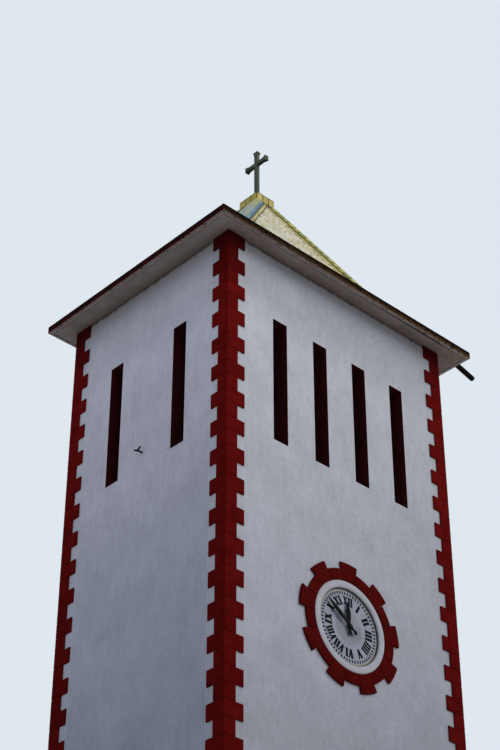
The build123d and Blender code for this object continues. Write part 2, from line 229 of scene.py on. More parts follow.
# Pale ground: plain swept concrete, only there to carry the shadow, so nearly even and matte
floor_material, tree, shader, place = new_material("pale_ground", 0.9)
ground_grain = add_node(tree, "ShaderNodeTexNoise", {"Vector": place.outputs["Object"], "Scale": 0.4})
ground_colour = add_node(tree, "ShaderNodeMix", {
    "Factor": ground_grain, "A": linear("#c9c9c6"), "B": linear("#d2d2cf"),
}, data_type="RGBA")
tree.links.new(first_enabled(ground_colour.outputs), shader.inputs["Base Color"])
floor = link_mesh(
    "floor",
    [(x, y, floor_level) for x, y in rectangle(-floor_reach, -floor_reach, floor_reach, floor_reach)],
    [(0, 1, 2, 3)],
    floor_material,
)

world = bpy.data.worlds.new("overcast_sky")
bpy.context.scene.world = world
world.use_nodes = True
sky = world.node_tree
sky.nodes.clear()
rays = add_node(sky, "ShaderNodeLightPath")
seen = add_node(sky, "ShaderNodeMath", {
    0: rays.outputs["Is Camera Ray"], 1: rays.outputs["Is Glossy Ray"],
}, operation="MAXIMUM")
seen = add_node(sky, "ShaderNodeMath", {
    0: seen, 1: rays.outputs["Is Transmission Ray"],
}, operation="MAXIMUM")
sky_light = add_node(sky, "ShaderNodeBackground", {"Color": linear("#dae1f8"), "Strength": 0.6})
sky_seen = add_node(sky, "ShaderNodeBackground", {"Color": linear("#dfe7ef"), "Strength": 1.0})
sky_mix = add_node(sky, "ShaderNodeMixShader", {0: seen, 1: sky_light, 2: sky_seen})
add_node(sky, "ShaderNodeOutputWorld", {"Surface": sky_mix})

lamp_data = bpy.data.lights.new("broad_lamp", "SUN")
lamp_data.energy = 1.15
lamp_data.angle = math.radians(30)
lamp_data.color = linear("#fff6ea")[:3]
lamp = bpy.data.objects.new("broad_lamp", lamp_data)
scene_nodes.link(lamp)
lamp_from = Vector((0.62, -0.78, 0.72))
lamp.rotation_euler = lamp_from.to_track_quat("Z", "Y").to_euler()
print("lamp elevation", round(math.degrees(math.asin(lamp_from.normalized().z)), 1))

# %% [markdown]
# Repeated things are grown by Geometry Nodes. A tree gets named inputs for its sizes and
# its finish, an object with an empty mesh carries it for a moment, and the result is kept
# as a plain mesh, because an exported model can't carry instances.

# %% Helper that runs a Geometry Nodes tree


def new_tree(name, inputs):
    """A Geometry Nodes tree with named inputs, and its input node."""
    tree = bpy.data.node_groups.new(name, "GeometryNodeTree")
    for label, kind in inputs.items():
        tree.interface.new_socket(name=label, in_out="INPUT", socket_type="NodeSocket" + kind)
    tree.interface.new_socket(name="Geometry", in_out="OUTPUT", socket_type="NodeSocketGeometry")
    return tree, add_node(tree, "NodeGroupInput").outputs


def grow(name, tree, values):
    """Runs the tree with these named values and keeps the result as a plain mesh."""
    host = link_mesh(name, [], [])
    modifier = host.modifiers.new("grow", "NODES")
    modifier.node_group = tree
    for item in tree.interface.items_tree:
        if item.in_out == "INPUT" and item.name in values:
            modifier[item.identifier] = values[item.name]
    graph = bpy.context.evaluated_depsgraph_get()
    mesh = bpy.data.meshes.new_from_object(host.evaluated_get(graph))
    host.modifiers.remove(modifier)
    host.data = mesh
    print(name, len(mesh.polygons), "faces")
    return host


def finish_tree(tree, geometry, material_socket):
    """Ends a tree in real geometry with its finish on it."""
    real = add_node(tree, "GeometryNodeRealizeInstances", {"Geometry": geometry})
    finished = add_node(tree, "GeometryNodeSetMaterial", {"Geometry": real, "Material": material_socket})
    add_node(tree, "NodeGroupOutput", {"Geometry": finished})


def prism(name, outline, low, high, chamfer, place=Matrix()):
    """A closed block on an outline that runs anticlockwise, chamfered on its upper edge."""
    work = bmesh.new()
    corners = [work.verts.new((x, y, low)) for x, y in outline]
    base = work.faces.new(corners)
    base.normal_update()
    raised = bmesh.ops.extrude_face_region(work, geom=[base])["geom"]
    top = [v for v in raised if isinstance(v, bmesh.types.BMVert)]
    bmesh.ops.translate(work, vec=(0, 0, high - low), verts=top)
    bmesh.ops.recalc_face_normals(work, faces=work.faces)
    if chamfer:
        rim = [e for e in work.edges if all(v.co.z > high - 1e-6 for v in e.verts)]
        bmesh.ops.bevel(work, geom=rim, offset=chamfer, segments=1, affect="EDGES")
    work.transform(place)
    bmesh.ops.recalc_face_normals(work, faces=work.faces)
    mesh = bpy.data.meshes.new(name)
    work.to_mesh(mesh)
    work.free()
    return mesh


def template(name, mesh):
    """An object for a tree to repeat. It isn't shown and is removed at the end."""
    thing = bpy.data.objects.new(name, mesh)
    scene_nodes.link(thing)
    templates.append(thing)
    return thing


templates = []

# %% [markdown]
# The walls are limewash brushed over cement render. Lime is chalky, so it has almost no gloss. Its tones up
# the wall are set from the photograph, so they hold painted light and shade of that day as well as dirt, and
# they stay as they are under another light: the wall grows lighter up the shaft, and the last half metre
# under the slab is darkened as painted shade. Right under the slab a dark brown line runs against it, and the
# foot is splashed. The openings are painted dark red inside, and the shader finds those faces by their place
# and direction: inside the wall's two faces, and not looking out.

# %% Limewash on the walls
wall_low, wall_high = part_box("front_wall")
wall_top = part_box("eave_slab")[0].z
wall_half = Vector((wall_high.x, -wall_low.y, 0))
wash_low, wash_high = 10.2, wall_top


def limewash(name, outward_axis, inward_axis, inward_limit, tones, fade):
    """Limewash for walls that look along one axis, with dark red paint in their openings.

    The tones run up the wall and hold painted light and shade, and fade is how much it greys from its left to
    its right end.
    A brush leaves broad clouds, streaks a hand wide, and the render's grit shows through."""
    material, tree, shader, place = new_material(name, 0.94, specular=0.12)
    spot = place.outputs["Object"]
    parts = add_node(tree, "ShaderNodeSeparateXYZ", {0: spot})
    height = parts.outputs["Z"]
    cloud = add_node(tree, "ShaderNodeTexNoise", {
        "Vector": spot, "Scale": per_metre(540), "Detail": 8.0, "Roughness": 0.66,
    })
    brushed_place = add_node(tree, "ShaderNodeMapping", {"Vector": spot, "Scale": (1, 1, 0.25)})
    brushed = add_node(tree, "ShaderNodeTexNoise", {
        "Vector": brushed_place, "Scale": per_metre(75), "Detail": 5.0, "Roughness": 0.7,
        "Distortion": 0.3,
    })
    grit = add_node(tree, "ShaderNodeTexNoise", {
        "Vector": spot, "Scale": per_metre(38), "Detail": 6.0, "Roughness": 0.75,
    })
    risen = add_node(tree, "ShaderNodeMapRange", {
        "Value": height, "From Min": wash_low, "From Max": wash_high,
    })
    washed = add_node(tree, "ShaderNodeValToRGB", {"Fac": risen}, stops=tones)
    faded = add_node(tree, "ShaderNodeMapRange", {
        "Value": parts.outputs[inward_axis], "From Min": -wall_half.x, "From Max": wall_half.x,
        "To Min": 1 + fade, "To Max": 1 - fade,
    })
    varied = 1.0
    for pattern, darkest, lightest in ((cloud, 0.90, 1.09), (brushed, 0.93, 1.06), (grit, 0.89, 1.10)):
        share = add_node(tree, "ShaderNodeMapRange", {
            "Value": pattern, "From Min": 0.3, "From Max": 0.7, "To Min": darkest, "To Max": lightest,
        })
        varied = add_node(tree, "ShaderNodeMath", {0: varied, 1: share}, operation="MULTIPLY")
    varied = add_node(tree, "ShaderNodeMath", {0: varied, 1: faded}, operation="MULTIPLY")
    washed = add_node(tree, "ShaderNodeVectorMath", {0: washed, "Scale": varied}, operation="SCALE")
    washed = stained(tree, washed, "#7d8087", brushed, 0.66, 0.76, 0.0, 0.3)
    ragged = add_node(tree, "ShaderNodeMath", {0: brushed, 1: 0.12, 2: height}, operation="MULTIPLY_ADD")
    # From the top: painted shade under the slab, a dark brown line against it, and rain splash at the foot
    for stain_colour, start, end, at_start, at_end in (
        ("#857c73", wall_top - 0.24, wall_top + 0.05, 0.0, 0.5),
        ("#4a3f36", wall_top, wall_top + 0.05, 0.0, 0.9),
        ("#7b756b", 0.15, 0.75, 0.7, 0.0),
    ):
        washed = stained(tree, washed, stain_colour, ragged, start, end, at_start, at_end,
                         interpolation_type="SMOOTHSTEP")

    facing = add_node(tree, "ShaderNodeSeparateXYZ", {0: place.outputs["Normal"]})
    outward = add_node(tree, "ShaderNodeMath", {0: facing.outputs[outward_axis]}, operation="ABSOLUTE")
    opening = add_node(tree, "ShaderNodeMath", {0: outward, 1: 0.5}, operation="LESS_THAN")
    aside = add_node(tree, "ShaderNodeMath", {0: parts.outputs[inward_axis]}, operation="ABSOLUTE")
    inside = add_node(tree, "ShaderNodeMath", {0: aside, 1: inward_limit}, operation="LESS_THAN")
    opening = add_node(tree, "ShaderNodeMath", {0: opening, 1: inside}, operation="MULTIPLY")
    reveal = add_node(tree, "ShaderNodeValToRGB", {"Fac": cloud}, stops=[
        (0.3, "#310508"), (0.7, "#480a0c"),
    ])
    painted = add_node(tree, "ShaderNodeMix", {
        "Factor": opening, "A": washed, "B": reveal,
    }, data_type="RGBA")
    tree.links.new(first_enabled(painted.outputs), shader.inputs["Base Color"])

    relief = {}
    for pattern, depth in ((cloud, 0.02), (brushed, 0.006), (grit, 0.003)):
        relief = {"Normal": add_node(tree, "ShaderNodeBump", {
            "Height": pattern, "Strength": 0.3, "Distance": depth, **relief,
        })}
    tree.links.new(relief["Normal"].outputs["Normal"], shader.inputs["Normal"])
    return material


wall_names = {
    "Y": ["front_wall", "back_wall_lower", "back_wall_upper", "front_belfry_piers",
          "back_belfry_piers", "front_head_band", "back_head_band"],
    "X": ["left_wall", "right_wall", "left_belfry_piers", "right_belfry_piers",
          "left_head_band", "right_head_band"],
}


def dress(node_name, material):
    """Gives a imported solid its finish."""
    slots = nodes[node_name].material_slots
    for slot in slots:
        slot.material = material
    if not slots:
        nodes[node_name].data.materials.append(material)


# Both tone lists are painted light and shade: lighter up the shaft, darker in the half metre under the slab,
# and each set for the light on its own walls.
front_back_tones_painted_light = [
    (0.0, "#a3a7ac"), (0.15, "#b1b4ba"), (0.40, "#bcbec3"), (0.62, "#c4c7ca"), (0.80, "#cccfd1"),
    (0.92, "#b8babc"), (0.96, "#a8abae"), (1.0, "#a4a6a8"),
]
side_tones_painted_light = [
    (0.0, "#9fa5ae"), (0.15, "#adb1b9"), (0.40, "#bcbec4"), (0.50, "#c6c7cc"), (0.80, "#d4d4d9"),
    (0.92, "#c9c9cd"), (0.96, "#b3b3b8"), (1.0, "#adadae"),
]
for axis, other, limit, tones, fade in (("Y", "X", wall_half.x - 0.001, front_back_tones_painted_light, 0.08),
                                        ("X", "Y", wall_half.y - 0.001, side_tones_painted_light, 0.0)):
    wall_finish = limewash("limewash_on_render_" + axis.lower(), axis, other, limit, tones, fade)
    for name in wall_names[axis]:
        dress(name, wall_finish)
print("limewashed walls:", sum(len(names) for names in wall_names.values()))

# %% [markdown]
# The corner blocks are cast in cement round the corner of the shaft, long and short by
# turns, and painted with dark red masonry paint. Each block is an angle in plan. It is
# drawn once long and once short, with a small chamfer that shows as a fine dark joint,
# and a tree stacks the two kinds by turns up the height of the shaft.

# %% Red masonry paint


def masonry_paint(name, tones):
    """Red masonry paint, rolled on and matte, darker low down as painted shade, and dark under the slab with
    soot and painted shade.

    How much duller it is low down is set from the photograph."""
    material, tree, shader, place = new_material(name, 0.9, specular=0.02)
    spot = place.outputs["Object"]
    tint = add_node(tree, "ShaderNodeAttribute", attribute_name="tint")
    mottle = add_node(tree, "ShaderNodeTexNoise", {
        "Vector": spot, "Scale": per_metre(170), "Detail": 6.0, "Roughness": 0.65,
    })
    mixed_tint = add_node(tree, "ShaderNodeMath", {
        0: tint.outputs["Fac"], 1: 0.12, 2: mottle,
    }, operation="MULTIPLY_ADD")
    red_tone = add_node(tree, "ShaderNodeValToRGB", {"Fac": mixed_tint}, stops=tones)
    red_height = add_node(tree, "ShaderNodeSeparateXYZ", {0: spot})
    # Painted shade: the paint is darker low down, following the same light as the limewash's tones.
    painted_shade_low_down = add_node(tree, "ShaderNodeMapRange", {
        "Value": red_height.outputs["Z"], "From Min": 10.5, "From Max": 15.0, "To Min": 0.78, "To Max": 1.1,
    })
    red_tone = add_node(tree, "ShaderNodeVectorMath", {0: red_tone, "Scale": painted_shade_low_down}, operation="SCALE")
    # Under the slab the paint darkens with soot and with painted shade.
    red_tone = stained(tree, red_tone, "#210506", red_height.outputs["Z"],
                       wall_top - 0.8, wall_top - 0.1, 0.0, 0.75)
    red_grit = add_node(tree, "ShaderNodeTexNoise", {"Vector": spot, "Scale": per_metre(9), "Detail": 3.0})
    surface(tree, shader, red_tone, red_grit, 0.4, 0.002)
    return material


red_paint = masonry_paint("red_masonry_paint", [(0.35, "#540a08"), (0.55, "#640d0a"), (0.75, "#6e120d")])
old_red_paint = masonry_paint("old_red_masonry_paint", [
    (0.35, "#470907"), (0.55, "#550c09"), (0.75, "#5f110c"),
])
print("made", red_paint.name, old_red_paint.name)

# %% Tree that stacks long and short blocks
stack_tree, given = new_tree("stacked_blocks", {
    "Long Block": "Object", "Short Block": "Object", "Courses": "Int",
    "Course Height": "Float", "Seed": "Int", "Finish": "Material",
})
step_up = add_node(stack_tree, "ShaderNodeCombineXYZ", {"Z": given["Course Height"]})
stack_line = add_node(stack_tree, "GeometryNodeMeshLine", {
    "Count": given["Courses"], "Offset": step_up,
})
long_shape = add_node(stack_tree, "GeometryNodeObjectInfo", {"Object": given["Long Block"]})
short_shape = add_node(stack_tree, "GeometryNodeObjectInfo", {"Object": given["Short Block"]})
long_ready = add_node(stack_tree, "GeometryNodeGeometryToInstance", {0: long_shape.outputs["Geometry"]})
short_ready = add_node(stack_tree, "GeometryNodeGeometryToInstance", {0: short_shape.outputs["Geometry"]})
odd_course = add_node(stack_tree, "ShaderNodeMath", {
    0: add_node(stack_tree, "GeometryNodeInputIndex"), 1: 2.0,
}, operation="MODULO")
odd_course = add_node(stack_tree, "FunctionNodeCompare", {0: odd_course, 1: 0.5}, operation="GREATER_THAN")
even_course = add_node(stack_tree, "FunctionNodeBooleanMath", {0: odd_course}, operation="NOT")
long_stack = add_node(stack_tree, "GeometryNodeInstanceOnPoints", {
    "Points": stack_line, "Selection": even_course, "Instance": long_ready,
})
short_stack = add_node(stack_tree, "GeometryNodeInstanceOnPoints", {
    "Points": stack_line, "Selection": odd_course, "Instance": short_ready,
})
stacked = add_node(stack_tree, "GeometryNodeJoinGeometry", {0: [long_stack, short_stack]})
block_tint = add_node(stack_tree, "FunctionNodeRandomValue", {"Seed": given["Seed"]}, data_type="FLOAT")
stacked = add_node(stack_tree, "GeometryNodeStoreNamedAttribute", {
    "Geometry": stacked, "Name": "tint", "Value": block_tint,
}, data_type="FLOAT", domain="INSTANCE")
finish_tree(stack_tree, stacked, given["Finish"])
print("made", stack_tree.name)

# %% Corner blocks
course_height = 0.2
course_count = round(wall_top / course_height)
block_joint = 0.004
block_chamfer = 0.007
short_arm = 0.175


def corner_block(name, corner, signs, arm, wall_corner):
    """An angle-shaped block round one corner, one course high, chamfered on both edges."""
    outline = [
        (0, 0), (arm, 0), (arm, wall_corner), (wall_corner, wall_corner), (wall_corner, arm), (0, arm),
    ]
    work = bmesh.new()
    rows = [
        [work.verts.new((corner.x + signs[0] * -x, corner.y + signs[1] * -y, z)) for x, y in outline]
        for z in (block_joint / 2, course_height - block_joint / 2)
    ]
    work.faces.new(rows[0])
    work.faces.new(rows[1])
    for i in range(len(outline)):
        j = (i + 1) % len(outline)
        work.faces.new((rows[0][i], rows[0][j], rows[1][j], rows[1][i]))
    bmesh.ops.recalc_face_normals(work, faces=work.faces)
    def shows(vertex):
        depth = (abs(vertex.co.x - corner.x), abs(vertex.co.y - corner.y))
        return min(depth) < 1e-6
    rim = [e for e in work.edges if all(shows(v) for v in e.verts)]
    bmesh.ops.bevel(work, geom=rim, offset=block_chamfer, segments=2, profile=0.6, affect="EDGES")
    mesh = bpy.data.meshes.new(name)
    work.to_mesh(mesh)
    work.free()
    return template(name, mesh)


quoin_signs = {"front_left": (-1, -1), "front_right": (1, -1), "back_left": (-1, 1), "back_right": (1, 1)}
for number, (corner_name, signs) in enumerate(quoin_signs.items()):
    low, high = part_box(corner_name + "_quoins")
    corner = Vector((high.x if signs[0] > 0 else low.x, high.y if signs[1] > 0 else low.y, 0))
    long_arm = high.x - low.x
    block_proud = abs(corner.x) - wall_half.x
    quoins = grow(corner_name + "_quoin_blocks", stack_tree, {
        "Long Block": corner_block("long_block", corner, signs, long_arm, block_proud),
        "Short Block": corner_block("short_block", corner, signs, short_arm, block_proud),
        "Courses": course_count, "Course Height": course_height, "Seed": number + 3, "Finish": red_paint,
    })
    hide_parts(corner_name + "_quoins")
    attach(quoins, "tower")

# %% [markdown]
# The eave slab is bare concrete that was painted once. Rain runs over its edge, so that is black with mould
# and has dark red paint left on the sheltered left side and ochre rust towards the right end. Underneath it
# is grey-beige, darker brown against the wall, and the strip outside the drip groove is paler and chipped.
# The drip groove is painted pale on its left part, as painted light against the shade inside it, and dark
# towards the right. The top has grey and olive lichen. All of that follows from how far a point is from the
# slab's edge, along which side it lies and which way it faces. Where along the slab each stain starts and
# stops is read off the photograph, and the top and back, which it doesn't show, are guessed.

# %% Weathered concrete
slab_low, slab_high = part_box("eave_slab")
slab_middle = (slab_low + slab_high) / 2
slab_half = (slab_high - slab_low) / 2
concrete, tree, shader, place = new_material("weathered_concrete", 0.92, specular=0.03)
spot = place.outputs["Object"]
slab_parts = add_node(tree, "ShaderNodeSeparateXYZ", {0: spot})
from_middle = add_node(tree, "ShaderNodeVectorMath", {
    0: spot, 1: tuple(slab_middle),
}, operation="SUBTRACT")
from_middle = add_node(tree, "ShaderNodeVectorMath", {0: from_middle}, operation="ABSOLUTE")
to_edge = add_node(tree, "ShaderNodeVectorMath", {0: tuple(slab_half), 1: from_middle}, operation="SUBTRACT")
to_edge = add_node(tree, "ShaderNodeSeparateXYZ", {0: to_edge})
edge_distance = add_node(tree, "ShaderNodeMath", {
    0: to_edge.outputs["X"], 1: to_edge.outputs["Y"],
}, operation="MINIMUM")
stain = add_node(tree, "ShaderNodeTexNoise", {
    "Vector": spot, "Scale": per_metre(420), "Detail": 7.0, "Roughness": 0.68,
})
blotch = add_node(tree, "ShaderNodeTexNoise", {
    "Vector": spot, "Scale": per_metre(110), "Detail": 5.0, "Roughness": 0.7, "Distortion": 0.5,
})
flakes = add_node(tree, "ShaderNodeTexNoise", {
    "Vector": spot, "Scale": per_metre(70), "Detail": 6.0, "Roughness": 0.75,
})
soffit = add_node(tree, "ShaderNodeValToRGB", {"Fac": stain}, stops=[
    (0.30, "#7a6e68"), (0.45, "#8d807a"), (0.62, "#978b85"), (0.80, "#a99d95"),
])
to_right = add_node(tree, "ShaderNodeMath", {0: stain, 1: 1.6, 2: slab_parts.outputs["X"]},
                    operation="MULTIPLY_ADD")
rusty = add_node(tree, "ShaderNodeMapRange", {
    "Value": to_right, "From Min": 2.4, "From Max": 3.0, "To Min": 0.0, "To Max": 0.7,
})
rust_spots = add_node(tree, "ShaderNodeMapRange", {"Value": blotch, "From Min": 0.45, "From Max": 0.60})
rusty = add_node(tree, "ShaderNodeMath", {0: rusty, 1: rust_spots}, operation="MULTIPLY")
soffit = add_node(tree, "ShaderNodeMix", {
    "Factor": rusty, "A": soffit, "B": linear("#80663a"),
}, data_type="RGBA")
soffit = stained(tree, soffit, "#4d4037", blotch, 0.60, 0.70, 0.0, 0.45)
from_wall = add_node(tree, "ShaderNodeVectorMath", {0: spot}, operation="ABSOLUTE")
from_wall = add_node(tree, "ShaderNodeVectorMath", {0: from_wall, 1: tuple(wall_half)}, operation="SUBTRACT")
from_wall = add_node(tree, "ShaderNodeSeparateXYZ", {0: from_wall})
wall_distance = add_node(tree, "ShaderNodeMath", {
    0: from_wall.outputs["X"], 1: from_wall.outputs["Y"],
}, operation="MAXIMUM")
wall_distance = add_node(tree, "ShaderNodeMath", {0: stain, 1: -0.10, 2: wall_distance},
                         operation="MULTIPLY_ADD")
soffit = stained(tree, soffit, "#6b5c50", wall_distance, -0.05, 0.09, 0.7, 0.0)
outside_groove = add_node(tree, "ShaderNodeMath", {0: edge_distance, 1: 0.046}, operation="LESS_THAN")
bleached = add_node(tree, "ShaderNodeMapRange", {"Value": to_right, "From Min": -0.4, "From Max": 1.2})
bleached = add_node(tree, "ShaderNodeMath", {0: bleached, 1: outside_groove}, operation="MULTIPLY")
soffit = add_node(tree, "ShaderNodeMix", {
    "Factor": bleached, "A": soffit, "B": linear("#9d938a"),
}, data_type="RGBA")
chipped = add_node(tree, "ShaderNodeMapRange", {
    "Value": flakes, "From Min": 0.50, "From Max": 0.60, "To Min": 0.0, "To Max": 0.85,
})
chipped = add_node(tree, "ShaderNodeMath", {0: chipped, 1: outside_groove}, operation="MULTIPLY")
soffit = add_node(tree, "ShaderNodeMix", {
    "Factor": chipped, "A": soffit, "B": linear("#5c4c40"),
}, data_type="RGBA")
# The groove is painted pale on its left part, as painted light against the shade inside it, and turns dark
# towards the right.
in_groove = add_node(tree, "ShaderNodeMath", {0: edge_distance, 1: 0.055, 2: 0.011}, operation="COMPARE")
groove_painted_light_to_dark = add_node(tree, "ShaderNodeMapRange", {
    "Value": to_right, "From Min": 0.9, "From Max": 2.0,
})
groove_end = add_node(tree, "ShaderNodeMapRange", {
    "Value": to_right, "From Min": 2.5, "From Max": 2.8, "To Min": 1.0, "To Max": 0.2,
})
groove_painted_light_to_dark = add_node(tree, "ShaderNodeMath", {0: groove_painted_light_to_dark, 1: groove_end}, operation="MULTIPLY")
groove_tone = add_node(tree, "ShaderNodeMix", {
    "Factor": groove_painted_light_to_dark, "A": linear("#d4c9bf"), "B": linear("#231b17"),
}, data_type="RGBA")
soffit = add_node(tree, "ShaderNodeMix", {
    "Factor": in_groove, "A": soffit, "B": groove_tone,
}, data_type="RGBA")

mould_line = add_node(tree, "ShaderNodeMath", {0: flakes, 1: 0.46, 2: slab_parts.outputs["Z"]},
                      operation="MULTIPLY_ADD")
mould = add_node(tree, "ShaderNodeMapRange", {
    "Value": mould_line, "From Min": slab_low.z + 0.250, "From Max": slab_low.z + 0.290,
})
edge_rust = add_node(tree, "ShaderNodeValToRGB", {"Fac": flakes}, stops=[
    (0.40, "#19110d"), (0.46, "#3f2c1a"), (0.51, "#7a5424"), (0.57, "#2c1f15"),
])
rust_share = add_node(tree, "ShaderNodeMapRange", {
    "Value": to_right, "From Min": -1.2, "From Max": 2.2, "To Min": 0.5, "To Max": 1.0,
})
edge_rust = add_node(tree, "ShaderNodeMix", {
    "Factor": rust_share, "A": linear("#251a13"), "B": edge_rust,
}, data_type="RGBA")
edge_paint = add_node(tree, "ShaderNodeValToRGB", {"Fac": blotch}, stops=[
    (0.36, "#240406"), (0.48, "#40080b"), (0.58, "#4f0b0e"), (0.70, "#260e0d"),
])
facing = add_node(tree, "ShaderNodeSeparateXYZ", {0: place.outputs["Normal"]})
not_left = add_node(tree, "ShaderNodeMath", {0: facing.outputs["X"], 1: -0.5}, operation="GREATER_THAN")
off_left = add_node(tree, "ShaderNodeMapRange", {
    "Value": to_right, "From Min": -1.6, "From Max": -1.1, "To Min": 0.3, "To Max": 1.0,
})
off_left = add_node(tree, "ShaderNodeMath", {0: off_left, 1: not_left}, operation="MULTIPLY")
edge_colour = add_node(tree, "ShaderNodeMix", {
    "Factor": off_left, "A": edge_paint, "B": edge_rust,
}, data_type="RGBA")
mould_colour = add_node(tree, "ShaderNodeValToRGB", {"Fac": stain}, stops=[
    (0.35, "#0a0706"), (0.55, "#17100c"), (0.80, "#2e2015"),
])
slab_edge = add_node(tree, "ShaderNodeMix", {
    "Factor": mould, "A": edge_colour, "B": mould_colour,
}, data_type="RGBA")
lichen = add_node(tree, "ShaderNodeValToRGB", {"Fac": stain}, stops=[
    (0.32, "#2a2621"), (0.50, "#423c34"), (0.62, "#544d42"), (0.75, "#39362c"),
])
faces_up = add_node(tree, "ShaderNodeMath", {0: facing.outputs["Z"], 1: 0.5}, operation="GREATER_THAN")
slab_edge = add_node(tree, "ShaderNodeMix", {
    "Factor": faces_up, "A": slab_edge, "B": lichen,
}, data_type="RGBA")
faces_down = add_node(tree, "ShaderNodeMath", {0: facing.outputs["Z"], 1: -0.5}, operation="LESS_THAN")
slab_colour = add_node(tree, "ShaderNodeMix", {
    "Factor": faces_down, "A": slab_edge, "B": soffit,
}, data_type="RGBA")
surface(tree, shader, slab_colour, blotch, 0.5, 0.008)
dress("eave_slab", concrete)

# Floor concrete: screed floated by hand, grey and matte, in patches as wide as the float's sweep
floor_concrete, *rest = mottled("floor_concrete", 0.9, 350, [(0.3, "#5f5c57"), (0.7, "#7f7b75")],
                                {"Detail": 6.0, "Roughness": 0.6})
for name in ("ground_floor", "belfry_floor", "door_sill"):
    dress(name, floor_concrete)
print("slab", [round(v, 3) for v in slab_half * 2])

# %% [markdown]
# The roof is covered with broken glazed tile, set by hand in mortar. A field of shards is
# what a dual mesh gives: a grid is shaken, cut into triangles and turned into its dual,
# so that each old point becomes a cell of several sides. The cells are shrunk for
# the mortar and raised with a small chamfer. Each shard keeps a random number that picks
# its glaze.

# %% Tree that breaks tile over a plane
mosaic_tree, given = new_tree("broken_tile_field", {
    "Width": "Float", "Height": "Float", "Cell": "Float", "Joint Share": "Float",
    "Left Foot": "Float", "Left Head": "Float", "Right Foot": "Float", "Right Head": "Float",
    "Thickness": "Float", "Seed": "Int", "Finish": "Material",
})
columns = add_node(mosaic_tree, "ShaderNodeMath", {0: given["Width"], 1: given["Cell"]}, operation="DIVIDE")
rows = add_node(mosaic_tree, "ShaderNodeMath", {0: given["Height"], 1: given["Cell"]}, operation="DIVIDE")
field = add_node(mosaic_tree, "GeometryNodeMeshGrid", {
    "Size X": given["Width"], "Size Y": given["Height"], "Vertices X": columns, "Vertices Y": rows,
})
shake_reach = add_node(mosaic_tree, "ShaderNodeMath", {0: given["Cell"], 1: 0.42}, operation="MULTIPLY")
shake_back = add_node(mosaic_tree, "ShaderNodeMath", {0: shake_reach, 1: -1.0}, operation="MULTIPLY")
shake = add_node(mosaic_tree, "FunctionNodeRandomValue", {
    "Min": add_node(mosaic_tree, "ShaderNodeCombineXYZ", {"X": shake_back, "Y": shake_back}),
    "Max": add_node(mosaic_tree, "ShaderNodeCombineXYZ", {"X": shake_reach, "Y": shake_reach}),
    "Seed": given["Seed"],
}, data_type="FLOAT_VECTOR")
to_base = add_node(mosaic_tree, "ShaderNodeMath", {0: given["Height"], 1: 0.5}, operation="MULTIPLY")
lifted = add_node(mosaic_tree, "ShaderNodeCombineXYZ", {"Y": to_base})
shift = add_node(mosaic_tree, "ShaderNodeVectorMath", {0: shake, 1: lifted}, operation="ADD")
field = add_node(mosaic_tree, "GeometryNodeSetPosition", {"Geometry": field, "Offset": shift})
field = add_node(mosaic_tree, "GeometryNodeTriangulate", {"Mesh": field})
field = add_node(mosaic_tree, "GeometryNodeDualMesh", {"Mesh": field})
cell_place = add_node(mosaic_tree, "ShaderNodeSeparateXYZ", {
    0: add_node(mosaic_tree, "GeometryNodeInputPosition"),
})
beyond = []
for foot, head, comparison in (("Left Foot", "Left Head", "LESS_THAN"),
                               ("Right Foot", "Right Head", "GREATER_THAN")):
    limit = add_node(mosaic_tree, "ShaderNodeMapRange", {
        "Value": cell_place.outputs["Y"], "From Min": 0.0, "From Max": given["Height"],
        "To Min": given[foot], "To Max": given[head],
    }, clamp=False)
    beyond.append(add_node(mosaic_tree, "FunctionNodeCompare", {
        0: cell_place.outputs["X"], 1: limit,
    }, operation=comparison))
outside = add_node(mosaic_tree, "FunctionNodeBooleanMath", {0: beyond[0], 1: beyond[1]}, operation="OR")
field = add_node(mosaic_tree, "GeometryNodeDeleteGeometry", {"Geometry": field, "Selection": outside},
                 domain="FACE")
shard_tint = add_node(mosaic_tree, "FunctionNodeRandomValue", {"Seed": given["Seed"]}, data_type="FLOAT")
field = add_node(mosaic_tree, "GeometryNodeStoreNamedAttribute", {
    "Geometry": field, "Name": "tint", "Value": shard_tint,
}, data_type="FLOAT", domain="FACE")
loose = add_node(mosaic_tree, "GeometryNodeSplitEdges", {"Mesh": field})
shard_size = add_node(mosaic_tree, "ShaderNodeMath", {0: 1.0, 1: given["Joint Share"]}, operation="SUBTRACT")
loose = add_node(mosaic_tree, "GeometryNodeScaleElements", {"Geometry": loose, "Scale": shard_size})
side_height = add_node(mosaic_tree, "ShaderNodeMath", {0: given["Thickness"], 1: 0.75}, operation="MULTIPLY")
cap_height = add_node(mosaic_tree, "ShaderNodeMath", {0: given["Thickness"], 1: 0.25}, operation="MULTIPLY")
raised = add_node(mosaic_tree, "GeometryNodeExtrudeMesh", {
    "Mesh": loose, "Offset Scale": side_height, "Individual": True,
})
capped = add_node(mosaic_tree, "GeometryNodeExtrudeMesh", {
    "Mesh": raised.outputs["Mesh"], "Selection": raised.outputs["Top"],
    "Offset Scale": cap_height, "Individual": True,
})
capped = add_node(mosaic_tree, "GeometryNodeScaleElements", {
    "Geometry": capped.outputs["Mesh"], "Selection": capped.outputs["Top"], "Scale": 0.92,
})
undersides = add_node(mosaic_tree, "GeometryNodeFlipFaces", {"Mesh": loose})
shards = add_node(mosaic_tree, "GeometryNodeJoinGeometry", {0: [capped, undersides]})
shards = add_node(mosaic_tree, "GeometryNodeMergeByDistance", {"Geometry": shards, "Distance": 0.0002})
finish_tree(mosaic_tree, shards, given["Finish"])
print("made", mosaic_tree.name)

# %% [markdown]
# Glazed tile is fired clay under coloured glass, so it is smooth and has a clear gloss.
# The clock side of the roof is set with cream and white shards, the left side with white ones coloured
# grey-blue as painted shade, and dirt and old mortar dull them all a little.

# %% Glazes
tile_roughness = 0.42


